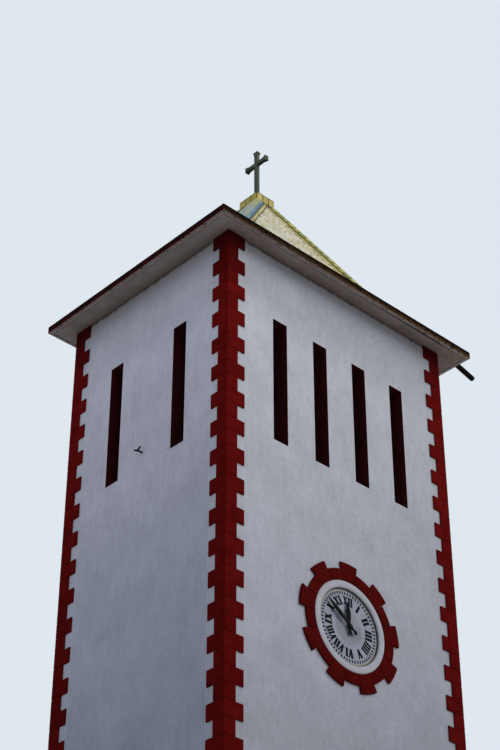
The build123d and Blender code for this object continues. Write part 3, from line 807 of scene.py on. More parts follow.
def glaze(name, palette, dirt, dirt_share=0.5, upper=None):
    """A tile glaze whose colour each shard or tile picks from a palette.

    With an upper colour, the tiles near the pedestal turn to it."""
    material, tree, shader, place = new_material(name, tile_roughness, specular=0.12)
    spot = place.outputs["Object"]
    tint = add_node(tree, "ShaderNodeAttribute", attribute_name="tint")
    stops = [(i / len(palette), colour) for i, colour in enumerate(palette)]
    picked = add_node(tree, "ShaderNodeValToRGB", {"Fac": tint.outputs["Fac"]}, stops=stops)
    picked.color_ramp.interpolation = "CONSTANT"
    grime = add_node(tree, "ShaderNodeTexNoise", {
        "Vector": spot, "Scale": per_metre(80), "Detail": 7.0, "Roughness": 0.75,
    })
    grime = add_node(tree, "ShaderNodeMapRange", {
        "Value": grime, "From Min": 0.45, "From Max": 0.75, "To Min": 0.0, "To Max": dirt_share,
    })
    if upper:
        height = add_node(tree, "ShaderNodeSeparateXYZ", {0: spot})
        picked = stained(tree, picked, upper, height.outputs["Z"],
                         slab_high.z + 1.45, slab_high.z + 1.95, 0.0, 0.85)
    dulled = add_node(tree, "ShaderNodeMix", {
        "Factor": grime, "A": picked, "B": linear(dirt),
    }, data_type="RGBA")
    shader.inputs["Coat Weight"].default_value = 0.04
    shader.inputs["Coat Roughness"].default_value = 0.15
    ripple = add_node(tree, "ShaderNodeTexNoise", {"Vector": spot, "Scale": per_metre(30), "Detail": 2.0})
    surface(tree, shader, dulled, ripple, 0.12, 0.002)
    return material


cream_glaze = glaze("cream_broken_tile", [
    "#f6f0c8", "#ece4b0", "#faf6dc", "#d6cf98", "#f4eecb", "#ebe3b2", "#bdb580", "#fdfaec", "#f1ecd2",
    "#e0d8a4",
], "#8b8450", 0.5)
# White shards, coloured grey-blue as painted shade.
white_glaze_painted_shade = glaze("white_broken_tile_painted_shade", [
    "#8da4a5", "#7d989d", "#9baba1", "#718c96", "#97a28e", "#819996", "#a6b09e", "#6a848f",
], "#656d51", 0.5)
yellow_glaze = glaze("yellow_tile", ["#d0bd50", "#c0ac42", "#d8c660", "#b4a23c", "#cbb856"], "#70671f", 0.5)
green_yellow_glaze = glaze("green_yellow_tile", ["#b6af34", "#9c9c2a", "#c2b83e", "#8a942c"], "#525a14", 0.5)
straw_glaze = glaze("straw_tile", ["#cdbf6c", "#bdae54", "#d6c97a", "#b09e48"], "#7f6f2c", 0.5)
# Dark olive: the joint at the foot of each cap, and painted shade from the cap's edge.
olive_glaze_and_painted_shade = glaze("dark_olive_tile_and_painted_shade", ["#4c4713", "#5b4a16", "#3d4213", "#544e1c"], "#2c2c10", 0.5)
blue_glaze = glaze("blue_tile", ["#5a93b0", "#6da3b6", "#5287a2", "#83afb4"], "#466f74", 0.5)
teal_glaze = glaze("dark_teal_tile", ["#2c4d5a", "#3b5a5c", "#28454f"], "#2a4038", 0.5)
pale_glaze = glaze("pale_tile", ["#95a79d", "#8a9d98", "#9fa68c", "#91a299"], "#737a57", 0.5, "#b5ad60")

# Mortar: sand and cement pressed between the shards, greened by algae, and darker in the
# joints of the borders and the pedestal, where water stands
mortar, *rest = mottled("grey_mortar", 0.9, 60, [(0.35, "#69663c"), (0.7, "#86834f")], {"Detail": 5.0})
dark_mortar, *rest = mottled("dark_mortar", 0.9, 60, [(0.35, "#2e3420"), (0.7, "#474628")], {"Detail": 5.0})
print("glazes ready")

# %% Planes of the four roof faces
crown_low, crown_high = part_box("pedestal")
crown_middle = (crown_low + crown_high) / 2
roof_base, roof_top = slab_high.z, crown_low.z
roof_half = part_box("front_roof_face")[1].x, -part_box("front_roof_face")[0].y
roof_rise = roof_top - roof_base
roof_out = {"front": Vector((0, -1, 0)), "back": Vector((0, 1, 0)),
            "left": Vector((-1, 0, 0)), "right": Vector((1, 0, 0))}


def roof_face(side):
    """A face's matrix (X along its eave, Y up its slope), half eave, head limits and length."""
    out = roof_out[side]
    eave = Vector((0, 0, 1)).cross(out)
    base_out, half_eave = roof_half[::-1] if side in ("front", "back") else roof_half
    head_out = max(crown_low.dot(out), crown_high.dot(out))
    heads = sorted((crown_low.dot(eave), crown_high.dot(eave)))
    rise = Vector((0, 0, roof_rise)) - out * (base_out - head_out)
    slope = rise.normalized()
    middle = out * base_out + Vector((0, 0, roof_base))
    turn = Matrix((eave, slope, eave.cross(slope))).transposed().to_4x4()
    return Matrix.Translation(middle) @ turn, half_eave, heads, rise.length


print("roof rise", round(roof_rise, 3), "half sizes", roof_half)

# %% Rows of whole tile beside the hips
cap_lift = 0.025
# Each row: its name, near and far edge from the arris, pitch, joint, glaze and bed. Raised
# rows reach 11 mm past the arris at their foot, so that their tops nearly meet over it.
# The dark olive row at each cap's foot is the joint there and painted shade from the cap's edge.
plain_rows = [
    ("arris", -0.011, 0.178, 0.118, 0.024, green_yellow_glaze, "cap"),
    ("joint", 0.186, 0.246, 0.30, 0.007, olive_glaze_and_painted_shade, "plane"),
    ("band", 0.252, 0.455, 0.22, 0.012, straw_glaze, "plane"),
]
striped_rows = [
    ("arris", -0.012, 0.062, 0.11, 0.007, pale_glaze, "cap"),
    ("stripe", 0.066, 0.094, 0.16, 0.007, blue_glaze, "cap"),
    ("edge", 0.097, 0.124, 0.20, 0.007, teal_glaze, "cap"),
    ("band", 0.131, 0.171, 0.16, 0.010, straw_glaze, "cap"),
    ("joint", 0.174, 0.186, 0.30, 0.007, olive_glaze_and_painted_shade, "plane"),
]
pale_rows = [("arris", -0.012, 0.140, 0.11, 0.007, pale_glaze, "cap")]
flanks = {
    ("front", -1): striped_rows, ("front", 1): plain_rows,
    ("right", -1): plain_rows, ("right", 1): plain_rows,
    ("back", -1): plain_rows, ("back", 1): plain_rows,
    ("left", -1): plain_rows, ("left", 1): pale_rows,
}
# Past its arris row the plain border narrows towards the pedestal, to this share
border_head_share = 0.42
straight_width = 0.185


def border_width(side, hand):
    """How far the rows on a flank reach from the arris, at its foot and at its head."""
    rows = flanks[side, hand]
    width = rows[-1][2] + 0.004
    if rows is not plain_rows:
        return width, width
    return width, straight_width + (width - straight_width) * border_head_share


def border_limits(side):
    """Where the two borders of a face end, as distances along X, at its foot and its head."""
    plane, half_eave, heads, slope_length = roof_face(side)
    limits = {}
    for hand, label in ((-1, "Left"), (1, "Right")):
        head = heads[0] if hand < 0 else heads[1]
        hip_length = math.hypot(head - hand * half_eave, slope_length)
        foot_width, head_width = (w * hip_length / slope_length for w in border_width(side, hand))
        limits[label + " Foot"] = hand * (half_eave - foot_width)
        limits[label + " Head"] = head - hand * head_width
    return limits


print("border on the clock side", {k: round(v, 3) for k, v in border_limits("front").items()})

# %% Broken tile on the four roof faces
shard_finish = {"front": cream_glaze, "left": white_glaze_painted_shade, "back": cream_glaze,
                "right": white_glaze_painted_shade}
for number, (side, finish) in enumerate(shard_finish.items()):
    plane, half_eave, heads, slope_length = roof_face(side)
    shards = grow(side + "_broken_tile", mosaic_tree, {
        "Width": 2 * half_eave, "Height": slope_length, "Cell": 0.044, **border_limits(side),
        "Joint Share": 0.12, "Thickness": 0.009, "Seed": 11 + number, "Finish": finish,
    })
    shards.data.transform(plane)
    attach(shards, "tower")
    dress(side + "_roof_face", mortar)

# %% [markdown]
# Beside each hip run rows of whole tiles. The street corner's hip has a pale arris, a
# blue stripe and a straw band, and the others a broad green-yellow arris, a dark line
# and a straw band. One tree lays a row between two points, flat. The row is then narrowed,
# cut at the eave and at the mitre below the pedestal, as a tiler cuts it, and tilted onto
# the roof. The colour varies a little from tile to tile.

# %% Tree that lays a row of tiles
row_tree, given = new_tree("tile_row", {
    "Start": "Vector", "End": "Vector", "Count": "Int", "Tile": "Object", "Seed": "Int", "Finish": "Material",
})
row_line = add_node(row_tree, "GeometryNodeMeshLine", {
    "Count": given["Count"], "Start Location": given["Start"], 3: given["End"],
}, mode="END_POINTS")
one_tile = add_node(row_tree, "GeometryNodeObjectInfo", {"Object": given["Tile"]})
row = add_node(row_tree, "GeometryNodeInstanceOnPoints", {
    "Points": row_line, "Instance": one_tile.outputs["Geometry"],
})
row_tint = add_node(row_tree, "FunctionNodeRandomValue", {"Seed": given["Seed"]}, data_type="FLOAT")
row = add_node(row_tree, "GeometryNodeStoreNamedAttribute", {
    "Geometry": row, "Name": "tint", "Value": row_tint,
}, data_type="FLOAT", domain="INSTANCE")
finish_tree(row_tree, row, given["Finish"])
print("made", row_tree.name)

# %% Tile rows on the hips


def cut_off(piece, point, away):
    """Cuts a piece with a plane, drops what lies on the away side and closes the cut."""
    work = bmesh.new()
    work.from_mesh(piece.data)
    everything = work.verts[:] + work.edges[:] + work.faces[:]
    cut = bmesh.ops.bisect_plane(work, geom=everything, plane_co=point, plane_no=away, clear_outer=True)
    rim = [e for e in cut["geom_cut"] if isinstance(e, bmesh.types.BMEdge)]
    bmesh.ops.holes_fill(work, edges=rim, sides=0)
    work.to_mesh(piece.data)
    work.free()


def tile_row(name, side, hand, row, seed):
    """A row of tiles on one flank of a hip, laid flat, tapered, cut and then tilted."""
    inner, outer, pitch, tile_joint, finish, bed = row[1:]
    plane, half_eave, heads, slope_length = roof_face(side)
    foot = Vector((hand * half_eave, 0, 0))
    head = Vector((heads[0] if hand < 0 else heads[1], slope_length, 0))
    length = (head - foot).length
    along = (head - foot) / length
    across = Vector((-hand * along.y, hand * along.x, 0))
    count = round(length / pitch)
    pitch = length / count
    half_tile = (pitch - tile_joint) / 2
    outline = rectangle(-half_tile, inner, half_tile, outer)
    high = cap_lift * plane.col[2].z + 0.008 if bed == "cap" else 0.010
    tile = prism("hip_tile", outline, -0.002, high, 0.002)
    strip = grow(name, row_tree, {
        "Start": Vector((pitch / 2, 0, 0)), "End": Vector((length - pitch / 2, 0, 0)), "Count": count,
        "Tile": template("hip_tile", tile), "Seed": seed, "Finish": finish,
    })
    if bed == "plane" and flanks[side, hand] is plain_rows:
        for vertex in strip.data.vertices:
            narrowed = 1 - (1 - border_head_share) * vertex.co.x / length
            vertex.co.y = straight_width + (vertex.co.y - straight_width) * narrowed
    flat = Matrix((along, across, Vector((0, 0, 1)))).transposed().to_4x4()
    strip.data.transform(Matrix.Translation(foot) @ flat)
    if hand < 0:
        strip.data.flip_normals()
    limits = border_limits(side)
    left_head = limits["Left Head"] - heads[0]
    left_share = left_head / (left_head + heads[1] - limits["Right Head"])
    mitre_foot = Vector(((2 * left_share - 1) * half_eave, 0, 0))
    mitre_head = Vector((heads[0] + left_share * (heads[1] - heads[0]), slope_length, 0))
    mitre = (mitre_head - mitre_foot).cross(Vector((0, 0, 1))) * -hand
    cut_off(strip, Vector((0, 0.004, 0)), Vector((0, -1, 0)))
    cut_off(strip, mitre_head, mitre)
    strip.data.transform(plane)
    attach(strip, "tower")
    return strip


for number, ((side, hand), rows) in enumerate(flanks.items()):
    hand_name = "left" if hand < 0 else "right"
    for row in rows:
        tile_row(f"{side}_{hand_name}_{row[0]}_tiles", side, hand, row, number + 20)
for corner_name in quoin_signs:
    dress(corner_name + "_hip_cap", dark_mortar)

# %% [markdown]
# The pedestal under the cross is faced with yellow tiles, three on each side, in dark
# mortar, and a dark fillet runs round its top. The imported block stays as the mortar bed.

# %% Pedestal tiles
crown_tile_low = crown_low.z + 0.004
crown_tile_high = crown_high.z - 0.020
tile_half_height = (crown_tile_high - crown_tile_low) / 2
for number, (side, out) in enumerate(roof_out.items()):
    eave = Vector((0, 0, 1)).cross(out)
    crown_width = abs((crown_high - crown_low).dot(eave))
    crown_tile_pitch = crown_width / 3
    half = (crown_tile_pitch - 0.014) / 2
    outline = rectangle(-half, -tile_half_height, half, tile_half_height)
    turn = Matrix((eave, Vector((0, 0, 1)), out)).transposed().to_4x4()
    tile = prism("pedestal_tile", outline, -0.001, 0.007, 0.002, turn)
    head_out = max(crown_low.dot(out), crown_high.dot(out))
    centre = out * head_out + eave * crown_middle.dot(eave)
    centre.z = (crown_tile_low + crown_tile_high) / 2
    facing_tiles = grow(side + "_pedestal_tiles", row_tree, {
        "Start": centre - eave * crown_tile_pitch, "End": centre + eave * crown_tile_pitch, "Count": 3,
        "Tile": template("pedestal_tile", tile), "Seed": 60 + number, "Finish": yellow_glaze,
    })
    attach(facing_tiles, "tower")
dress("pedestal", dark_mortar)

# %% [markdown]
# The cross is taken as welded from bar and painted a dark olive grey that has weathered to a dull, slightly
# rusty film, with painted shade that turns it black on its underside. The spout and the small fork are taken
# as bare iron, nearly black, with rust in patches, and they get the same painted shade underneath. The
# photograph is too coarse there to tell more.

# %% Painted and bare iron


def weathered_iron(name, paint, rust, rust_from, roughness, specular):
    """Iron under a film that rust breaks through in patches, with painted shade that turns its underside
    black.
    """
    material, tree, shader, place = new_material(name, roughness, specular=specular)
    spot = place.outputs["Object"]
    patches = add_node(tree, "ShaderNodeTexNoise", {
        "Vector": spot, "Scale": per_metre(45), "Detail": 6.0, "Roughness": 0.7,
    })
    film = stained(tree, linear(paint), rust, patches, rust_from, rust_from + 0.14, 0.0, 1.0)
    # Painted shade: faces that look down turn nearly black.
    facing = add_node(tree, "ShaderNodeSeparateXYZ", {0: place.outputs["Normal"]})
    film = stained(tree, film, "#15160f", facing.outputs["Z"], -0.9, -0.2, 0.8, 0.0)
    surface(tree, shader, film, patches, 0.5, 0.002)
    return material


cross_paint = weathered_iron("olive_paint_on_iron", "#535b48", "#29291c", 0.52, 0.6, 0.1)
bare_iron = weathered_iron("rusted_iron", "#110e0d", "#2a180c", 0.52, 0.75, 0.03)
for name in ("cross_post", "cross_arm"):
    dress(name, cross_paint)
for name in ("roof_spout", "wall_fork"):
    dress(name, bare_iron)
print("iron ready")

# %% [markdown]
# The clock's surround is a ring of eighteen cast stones with open joints, and every
# second one reaches out like a tooth. A stone is a wedge, so a long one and a short one
# are drawn once and turned round the clock's centre by a tree.

# %% Clock centre and planes
arbor_low, arbor_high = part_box("minute_arbor")
clock_centre = Vector(((arbor_low.x + arbor_high.x) / 2, 0, (arbor_low.z + arbor_high.z) / 2))
wall_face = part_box("front_wall")[0].y
stone_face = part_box("clock_surround")[0].y
dial_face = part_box("dial")[0].y
# X to the viewer's right, Y up and Z out of the wall, with the clock's centre as origin
clock_axes = Matrix.Translation((clock_centre.x, 0, clock_centre.z)) @ Matrix(
    ((1, 0, 0, 0), (0, 0, -1, 0), (0, 1, 0, 0), (0, 0, 0, 1)))


def clock_place(depth_y):
    """The clock's axes moved so that their origin lies at this depth."""
    return Matrix.Translation((0, depth_y, 0)) @ clock_axes


print("clock centre", [round(v, 3) for v in clock_centre])

# %% Tree that turns one shape round a centre
ring_tree, given = new_tree("ring_of_shapes", {
    "Shape": "Object", "Count": "Int", "First Angle": "Float", "Seed": "Int", "Finish": "Material",
})
ring_points = add_node(ring_tree, "GeometryNodeMeshLine", {"Count": given["Count"], "Offset": (0, 0, 0)})
ring_step = add_node(ring_tree, "ShaderNodeMath", {0: math.tau, 1: given["Count"]}, operation="DIVIDE")
ring_angle = add_node(ring_tree, "ShaderNodeMath", {
    0: add_node(ring_tree, "GeometryNodeInputIndex"), 1: ring_step, 2: given["First Angle"],
}, operation="MULTIPLY_ADD")
ring_turn = add_node(ring_tree, "ShaderNodeCombineXYZ", {"Z": ring_angle})
ring_shape = add_node(ring_tree, "GeometryNodeObjectInfo", {"Object": given["Shape"]})
ring = add_node(ring_tree, "GeometryNodeInstanceOnPoints", {
    "Points": ring_points, "Instance": ring_shape.outputs["Geometry"], "Rotation": ring_turn,
})
ring_tint = add_node(ring_tree, "FunctionNodeRandomValue", {"Seed": given["Seed"]}, data_type="FLOAT")
ring = add_node(ring_tree, "GeometryNodeStoreNamedAttribute", {
    "Geometry": ring, "Name": "tint", "Value": ring_tint,
}, data_type="FLOAT", domain="INSTANCE")
finish_tree(ring_tree, ring, given["Finish"])
print("made", ring_tree.name)

# %% Surround stones
surround_low, surround_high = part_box("clock_surround")
long_radius = (surround_high.x - surround_low.x) / 2
bezel_low, bezel_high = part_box("bezel")
bezel_outer = (bezel_high.x - bezel_low.x) / 2
short_radius = 0.722
stone_count = 18
half_joint = 0.0025
arc_steps = 8


def wedge(inner_radius, outer_radius):
    """The outline of one stone, centred on the upward direction."""
    half_angle = math.pi / stone_count
    arc = []
    for radius, order in ((inner_radius, 1), (outer_radius, -1)):
        slack = half_joint / radius
        reach = half_angle - slack
        angles = [-reach + 2 * reach * i / arc_steps for i in range(arc_steps + 1)]
        arc += [(radius * math.sin(a), radius * math.cos(a)) for a in angles[::order]]
    return arc[::-1]


stone_pieces = []
stone_height = wall_face - stone_face
for kind, radius, first in (("long", long_radius, 0), ("short", short_radius, math.tau / stone_count)):
    stone = prism(kind + "_stone", wedge(bezel_outer + 0.001, radius), 0.0, stone_height, 0.004)
    stones = grow(kind + "_surround_stones", ring_tree, {
        "Shape": template(kind + "_stone", stone), "Count": stone_count // 2,
        "First Angle": first, "Seed": 5, "Finish": old_red_paint,
    })
    stones.data.transform(clock_place(wall_face))
    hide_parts("clock_surround")
    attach(stones, "tower")
    stone_pieces.append(stones)

# %% [markdown]
# The bezel is a rounded moulding of render, painted white, between the stones and the dial. It is a half
# round swept about the clock's centre, so a spin of its section gives it exactly. A thin rim of sheet stands
# inside it and holds the dial's edge, and its dark grey is painted shade of the recess. The dial is bluish
# white enamel on sheet, with a cream border, and darker round the hands with dust and painted shade.

# %% Bezel
# Moulding paint: white masonry paint brushed on render, aged to a soft uneven grey-white
bezel_paint, tree, shader, bezel_cloud = mottled(
    "white_moulding_paint", 0.7, 120, [(0.35, "#b0b1b5"), (0.7, "#bebfc3")],
    {"Detail": 5.0, "Roughness": 0.6}, specular=0.15)
bezel_bump = add_node(tree, "ShaderNodeBump", {"Height": bezel_cloud, "Strength": 0.2, "Distance": 0.003})
tree.links.new(bezel_bump.outputs["Normal"], shader.inputs["Normal"])

bezel_inner = 0.484
bezel_height = bezel_high.y - bezel_low.y


def face_outward(thing):
    work = bmesh.new()
    work.from_mesh(thing.data)
    bmesh.ops.recalc_face_normals(work, faces=work.faces)
    work.to_mesh(thing.data)
    work.free()


def turned_ring(name, section, material, place, steps=96):
    """A ring whose section, radius and height, is swept round the centre."""
    count = len(section)
    vertices, faces = [], []
    for i in range(steps):
        angle = math.tau * i / steps
        vertices += [(r * math.cos(angle), r * math.sin(angle), h) for r, h in section]
        j = (i + 1) % steps
        for k in range(count):
            m = (k + 1) % count
            faces.append((i * count + k, j * count + k, j * count + m, i * count + m))
    ring = link_mesh(name, vertices, faces, material)
    ring.data.transform(place)
    face_outward(ring)
    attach(ring, "tower")
    return ring


section_steps = 12
bezel_crown = (bezel_outer - bezel_inner) / 2
bezel_section = [
    (bezel_inner + bezel_crown - bezel_crown * math.cos(math.pi * i / section_steps),
     bezel_height * math.sin(math.pi * i / section_steps) ** 0.5)
    for i in range(section_steps + 1)
]
bezel_ring = turned_ring("bezel_moulding", bezel_section, bezel_paint, clock_place(wall_face))
for polygon in bezel_ring.data.polygons:
    polygon.use_smooth = True
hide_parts("bezel")

# Rim: a folded strip of sheet, coloured dark grey as painted shade of the recess inside the bezel, dulled by
# dust
rim_painted_shade, *rest = mottled("rim_sheet_painted_shade", 0.7, 60, [(0.35, "#35343a"), (0.7, "#4a4950")],
                          {"Detail": 4.0}, specular=0.1)
rim_depth = 0.014
rim_section = rectangle(bezel_inner - 0.008, 0, bezel_inner - 0.001, rim_depth)
rim_ring = turned_ring("dial_rim", rim_section, rim_painted_shade, clock_place(dial_face))

# %% Dial enamel
# Enamel: glass fired on sheet, hard and smooth, here dulled by dust and chalked by weather
dial_enamel, tree, shader, place = new_material("dial_enamel", 0.5, specular=0.2)
spot = place.outputs["Object"]
from_centre = add_node(tree, "ShaderNodeVectorMath", {
    0: spot, 1: (clock_centre.x, dial_face, clock_centre.z),
}, operation="DISTANCE")
cream_rim = add_node(tree, "ShaderNodeMapRange", {
    "Value": from_centre.outputs["Value"], "From Min": 0.450, "From Max": 0.457,
})
enamel_cloud = add_node(tree, "ShaderNodeTexNoise", {
    "Vector": spot, "Scale": per_metre(180), "Detail": 5.0, "Roughness": 0.6,
})
enamel_tone = add_node(tree, "ShaderNodeValToRGB", {"Fac": enamel_cloud}, stops=[
    (0.35, "#828a99"), (0.7, "#959dac"),
])
# Inside the inner ring the enamel is darker, with dust and with painted shade of the hands.
dust_and_shade_tone = add_node(tree, "ShaderNodeValToRGB", {"Fac": enamel_cloud}, stops=[
    (0.35, "#6f757e"), (0.7, "#878e98"),
])
dust_and_painted_shade = add_node(tree, "ShaderNodeMapRange", {
    "Value": from_centre.outputs["Value"], "From Min": 0.19, "From Max": 0.24,
    "To Min": 1.0, "To Max": 0.0,
})
enamel_tone = add_node(tree, "ShaderNodeMix", {
    "Factor": dust_and_painted_shade, "A": enamel_tone, "B": dust_and_shade_tone,
}, data_type="RGBA")
rim_tone = add_node(tree, "ShaderNodeValToRGB", {"Fac": enamel_cloud}, stops=[
    (0.35, "#7d7c68"), (0.7, "#92917c"),
])
dial_colour = add_node(tree, "ShaderNodeMix", {
    "Factor": cream_rim, "A": enamel_tone, "B": rim_tone,
}, data_type="RGBA")
tree.links.new(first_enabled(dial_colour.outputs), shader.inputs["Base Color"])
shader.inputs["Coat Weight"].default_value = 0.05
shader.inputs["Coat Roughness"].default_value = 0.2
dress("dial", dial_enamel)

# %% [markdown]
# The numerals are the old Roman ones with four strokes for four. Each letter is a few
# straight strokes with small serifs, so it is drawn from stroke ends rather than from a
# font, set out along the radius, and raised half a millimetre as thick paint is.

# %% Painted numerals
# Black enamel: brushed or stoved on, and so dusty that it hardly shines
black_enamel, *rest = mottled("black_enamel", 0.5, 40, [(0.3, "#060709"), (0.8, "#0e0f12")],
                              {"Detail": 4.0}, specular=0.02)

numeral_inner = 0.275
numeral_outer = 0.390
letter_height = numeral_outer - numeral_inner
paint_height = 0.0006
serif = 0.013


def stroke(start, end, width):
    """A slanted stroke with level ends."""
    half = width / 2
    return [(start - half, 0), (start + half, 0), (end + half, letter_height), (end - half, letter_height)]


def serifs(at, y, width):
    low, high = (y, y + serif) if y == 0 else (y - serif, y)
    return rectangle(at - width / 2, low, at + width / 2, high)


letters = {
    "I": (0.047, [stroke(0.0235, 0.0235, 0.036), serifs(0.0235, 0, 0.042),
                  serifs(0.0235, letter_height, 0.042)]),
    "V": (0.086, [stroke(0.044, 0.018, 0.040), stroke(0.044, 0.071, 0.020),
                  serifs(0.018, letter_height, 0.036), serifs(0.071, letter_height, 0.028)]),
    "X": (0.088, [stroke(0.070, 0.018, 0.040), stroke(0.018, 0.070, 0.020),
                  serifs(0.018, 0, 0.028), serifs(0.070, 0, 0.036),
                  serifs(0.018, letter_height, 0.036), serifs(0.070, letter_height, 0.028)]),
}
numerals = ["XII", "I", "II", "III", "IIII", "V", "VI", "VII", "VIII", "IX", "X", "XI"]
# The widest numerals are set narrower, by the share that the photograph shows
squeeze = {"VIII": 0.74, "XII": 0.88, "VII": 0.90, "IIII": 0.87}

vertices, faces = [], []
for hour, word in enumerate(numerals):
    width = sum(letters[c][0] for c in word)
    turn = Matrix.Rotation(-math.tau * hour / 12, 4, "Z")
    narrow = squeeze.get(word, 1.0)
    pen = -width / 2
    for letter in word:
        for layer, outline in enumerate(letters[letter][1]):
            first = len(vertices)
            for level in (0, paint_height + 0.00005 * layer):
                for x, y in outline:
                    vertices.append(turn @ Vector(((pen + x) * narrow, y + numeral_inner, level)))
            faces.append((first + 3, first + 2, first + 1, first))
            faces.append((first + 4, first + 5, first + 6, first + 7))
            for i in range(4):
                j = (i + 1) % 4
                faces.append((first + i, first + j, first + 4 + j, first + 4 + i))
        pen += letters[letter][0]
numeral_paint = link_mesh("dial_numerals", vertices, faces, black_enamel)
numeral_paint.data.transform(clock_place(dial_face))
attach(numeral_paint, "tower")
print("numerals", len(faces), "faces")

# %% Minute track and gilt lines
# Gilt paint: bronze powder in varnish, drawn on with a fine brush and tarnished
gilt, *rest = mottled("gilt_line_paint", 0.45, 50, [(0.3, "#656252"), (0.7, "#7a7562")])


def bar_outline(low, high, width):
    return rectangle(-width / 2, low, width / 2, high)


minute_mark = prism("minute_mark", bar_outline(0.412, 0.446, 0.022), 0, paint_height, 0)
minute_track = grow("minute_track", ring_tree, {
    "Shape": template("minute_mark", minute_mark), "Count": 60, "First Angle": 0.0, "Seed": 1,
    "Finish": black_enamel,
})
minute_track.data.transform(clock_place(dial_face))
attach(minute_track, "tower")

ray = prism("dial_ray", bar_outline(0.207, 0.392, 0.0035), 0, paint_height * 0.8, 0)
rays_between = grow("dial_rays", ring_tree, {
    "Shape": template("dial_ray", ray), "Count": 12, "First Angle": math.tau / 24, "Seed": 1, "Finish": gilt,
})
rays_between.data.transform(clock_place(dial_face))
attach(rays_between, "tower")
for name, radius, width in (("inner_dial_ring", 0.205, 0.006), ("outer_dial_ring", 0.404, 0.003)):
    section = rectangle(radius - width / 2, 0, radius + width / 2, paint_height)
    line = turned_ring(name, section, gilt, clock_place(dial_face))

# %% [markdown]
# The hands are sheet metal, painted black: a leaf that swells and comes to a point, a
# round hub, and a tail that ends in a disc. The outline follows a sine for the swell. A
# low ridge along the middle gives the blade its two slopes, as a pressed hand has.

# %% Hands


def hand_outline(length, width, tail, club):
    """Half widths of the blade from the tail's end to the tip, as (distance, half width)."""
    profile = []
    steps = 10
    for i in range(steps + 1):
        angle = math.pi * i / steps
        profile.append((-tail + club - club * math.cos(angle), max(0.002, club * math.sin(angle))))
    profile = profile[:-2] + [(-tail + 2 * club, width * 0.28), (-0.040, width * 0.30)]
    hub = 0.038
    for i in range(1, steps):
        angle = math.pi * i / steps
        if hub * math.sin(angle) > width * 0.30:
            profile.append((-hub * math.cos(angle), hub * math.sin(angle)))
    profile.append((0.041, width * 0.24))
    for i in range(1, steps + 1):
        share = i / steps
        along = 0.041 + (length * 0.97 - 0.041) * share
        profile.append((along, width * 0.20 + width * 0.30 * math.sin(math.pi * min(1, share * 1.02))))
    profile.append((length, 0.0015))
    return profile


def make_hand(name, body, profile, angle, low_y, high_y):
    """A closed blade with a low ridge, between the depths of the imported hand."""
    thickness = high_y - low_y
    vertices, faces = [], []
    for along, half in profile:
        vertices += [(-half, along, 0), (half, along, 0), (half, along, thickness * 0.45),
                     (0, along, thickness), (-half, along, thickness * 0.45)]
    for i in range(len(profile) - 1):
        for k in range(5):
            m = (k + 1) % 5
            faces.append((5 * i + k, 5 * i + m, 5 * i + 5 + m, 5 * i + 5 + k))
    faces.append((4, 3, 2, 1, 0))
    last = 5 * (len(profile) - 1)
    faces.append((last, last + 1, last + 2, last + 3, last + 4))
    hand = link_mesh(name, vertices, faces, black_enamel)
    face_outward(hand)
    hand.data.transform(clock_place(high_y) @ Matrix.Rotation(angle, 4, "Z"))
    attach(hand, body)
    return hand


# The hands stand at 11:51, as in the photograph: this far before XII, counted anticlockwise
minute_angle = math.radians(54)
hour_angle = math.radians(4.5)
hour_low, hour_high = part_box("hour_hand")
minute_low, minute_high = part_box("minute_hand")
hour_blade = make_hand("hour_hand_blade", "hour_hand", hand_outline(0.306, 0.070, 0.106, 0.030),
                       hour_angle, hour_low.y, hour_high.y)
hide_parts("hour_hand")
minute_blade = make_hand("minute_hand_blade", "minute_hand", hand_outline(0.428, 0.068, 0.128, 0.030),
                         minute_angle, minute_low.y, minute_high.y)
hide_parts("minute_hand")

# Steel and brass: turned in a lathe, so their tone changes over a few millimetres, and dull
arbor_steel, *rest = mottled("oiled_steel", 0.6, 2, [(0.3, "#26262a"), (0.7, "#38393d")], metallic=1.0)
bush_brass, *rest = mottled("dull_brass", 0.45, 3, [(0.3, "#7d6634"), (0.7, "#957b42")], metallic=1.0)
for name in ("minute_arbor", "hour_pipe"):
    dress(name, arbor_steel)
dress("arbor_bush", bush_brass)

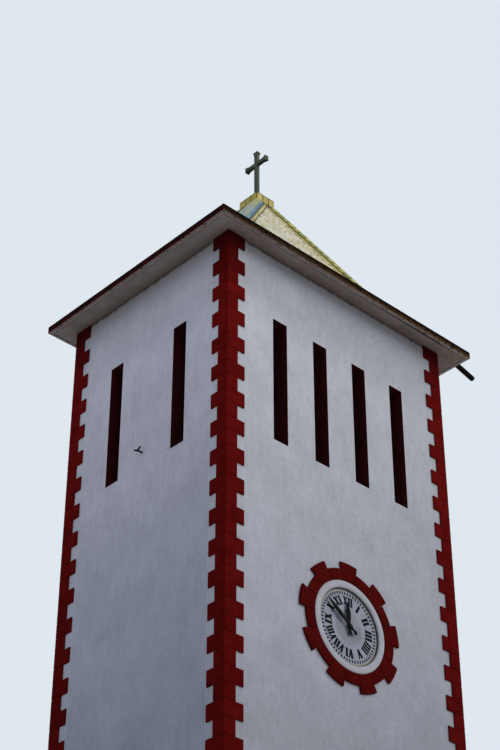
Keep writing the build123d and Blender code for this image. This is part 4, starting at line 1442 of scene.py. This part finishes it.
# %% [markdown]
# The door at the back is a guess, because the photograph doesn't show one. It is made of
# upright boards nailed to ledges behind, and painted the
# same dark red as the slits. The boards are what repeats, so a row of them is laid with
# the tile tree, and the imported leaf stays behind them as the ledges.

# %% Door
# Door paint: dark red oil paint on sawn boards, whose grain runs upright and shows through
door_paint, tree, shader, place = new_material("dark_red_door_paint", 0.5)
spot = place.outputs["Object"]
grain_place = add_node(tree, "ShaderNodeMapping", {"Vector": spot, "Scale": (1, 1, 0.06)})
grain = add_node(tree, "ShaderNodeTexNoise", {
    "Vector": grain_place, "Scale": per_metre(9), "Detail": 5.0, "Roughness": 0.6,
})
door_tint = add_node(tree, "ShaderNodeAttribute", attribute_name="tint")
door_mix = add_node(tree, "ShaderNodeMath", {0: door_tint.outputs["Fac"], 1: 0.25, 2: grain},
                    operation="MULTIPLY_ADD")
door_tone = add_node(tree, "ShaderNodeValToRGB", {"Fac": door_mix}, stops=[
    (0.35, "#3d0f0d"), (0.6, "#561713"), (0.85, "#66211a"),
])
surface(tree, shader, door_tone, grain, 0.3, 0.002)
for name in ("door_frame", "door_leaf"):
    dress(name, door_paint)

leaf_low, leaf_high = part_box("door_leaf")
board_count = 7
board_pitch = (leaf_high.x - leaf_low.x) / board_count
board_half = board_pitch / 2 - 0.0015
board_height = (leaf_high.z - leaf_low.z) / 2 - 0.004
board_turn = Matrix(((-1, 0, 0, 0), (0, 0, 1, 0), (0, 1, 0, 0), (0, 0, 0, 1)))
board = prism("door_board", rectangle(-board_half, -board_height, board_half, board_height),
              -0.002, 0.012, 0.003, board_turn)
leaf_middle = Vector((0, leaf_high.y, (leaf_low.z + leaf_high.z) / 2))
half_span = Vector((board_pitch * (board_count - 1) / 2, 0, 0))
boards = grow("door_boards", row_tree, {
    "Start": leaf_middle - half_span, "End": leaf_middle + half_span, "Count": board_count,
    "Tile": template("door_board", board), "Seed": 90, "Finish": door_paint,
})
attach(boards, "tower")

# %% [markdown]
# The templates have done their work and go.

# %% Finish
for thing in templates:
    bpy.data.objects.remove(thing)
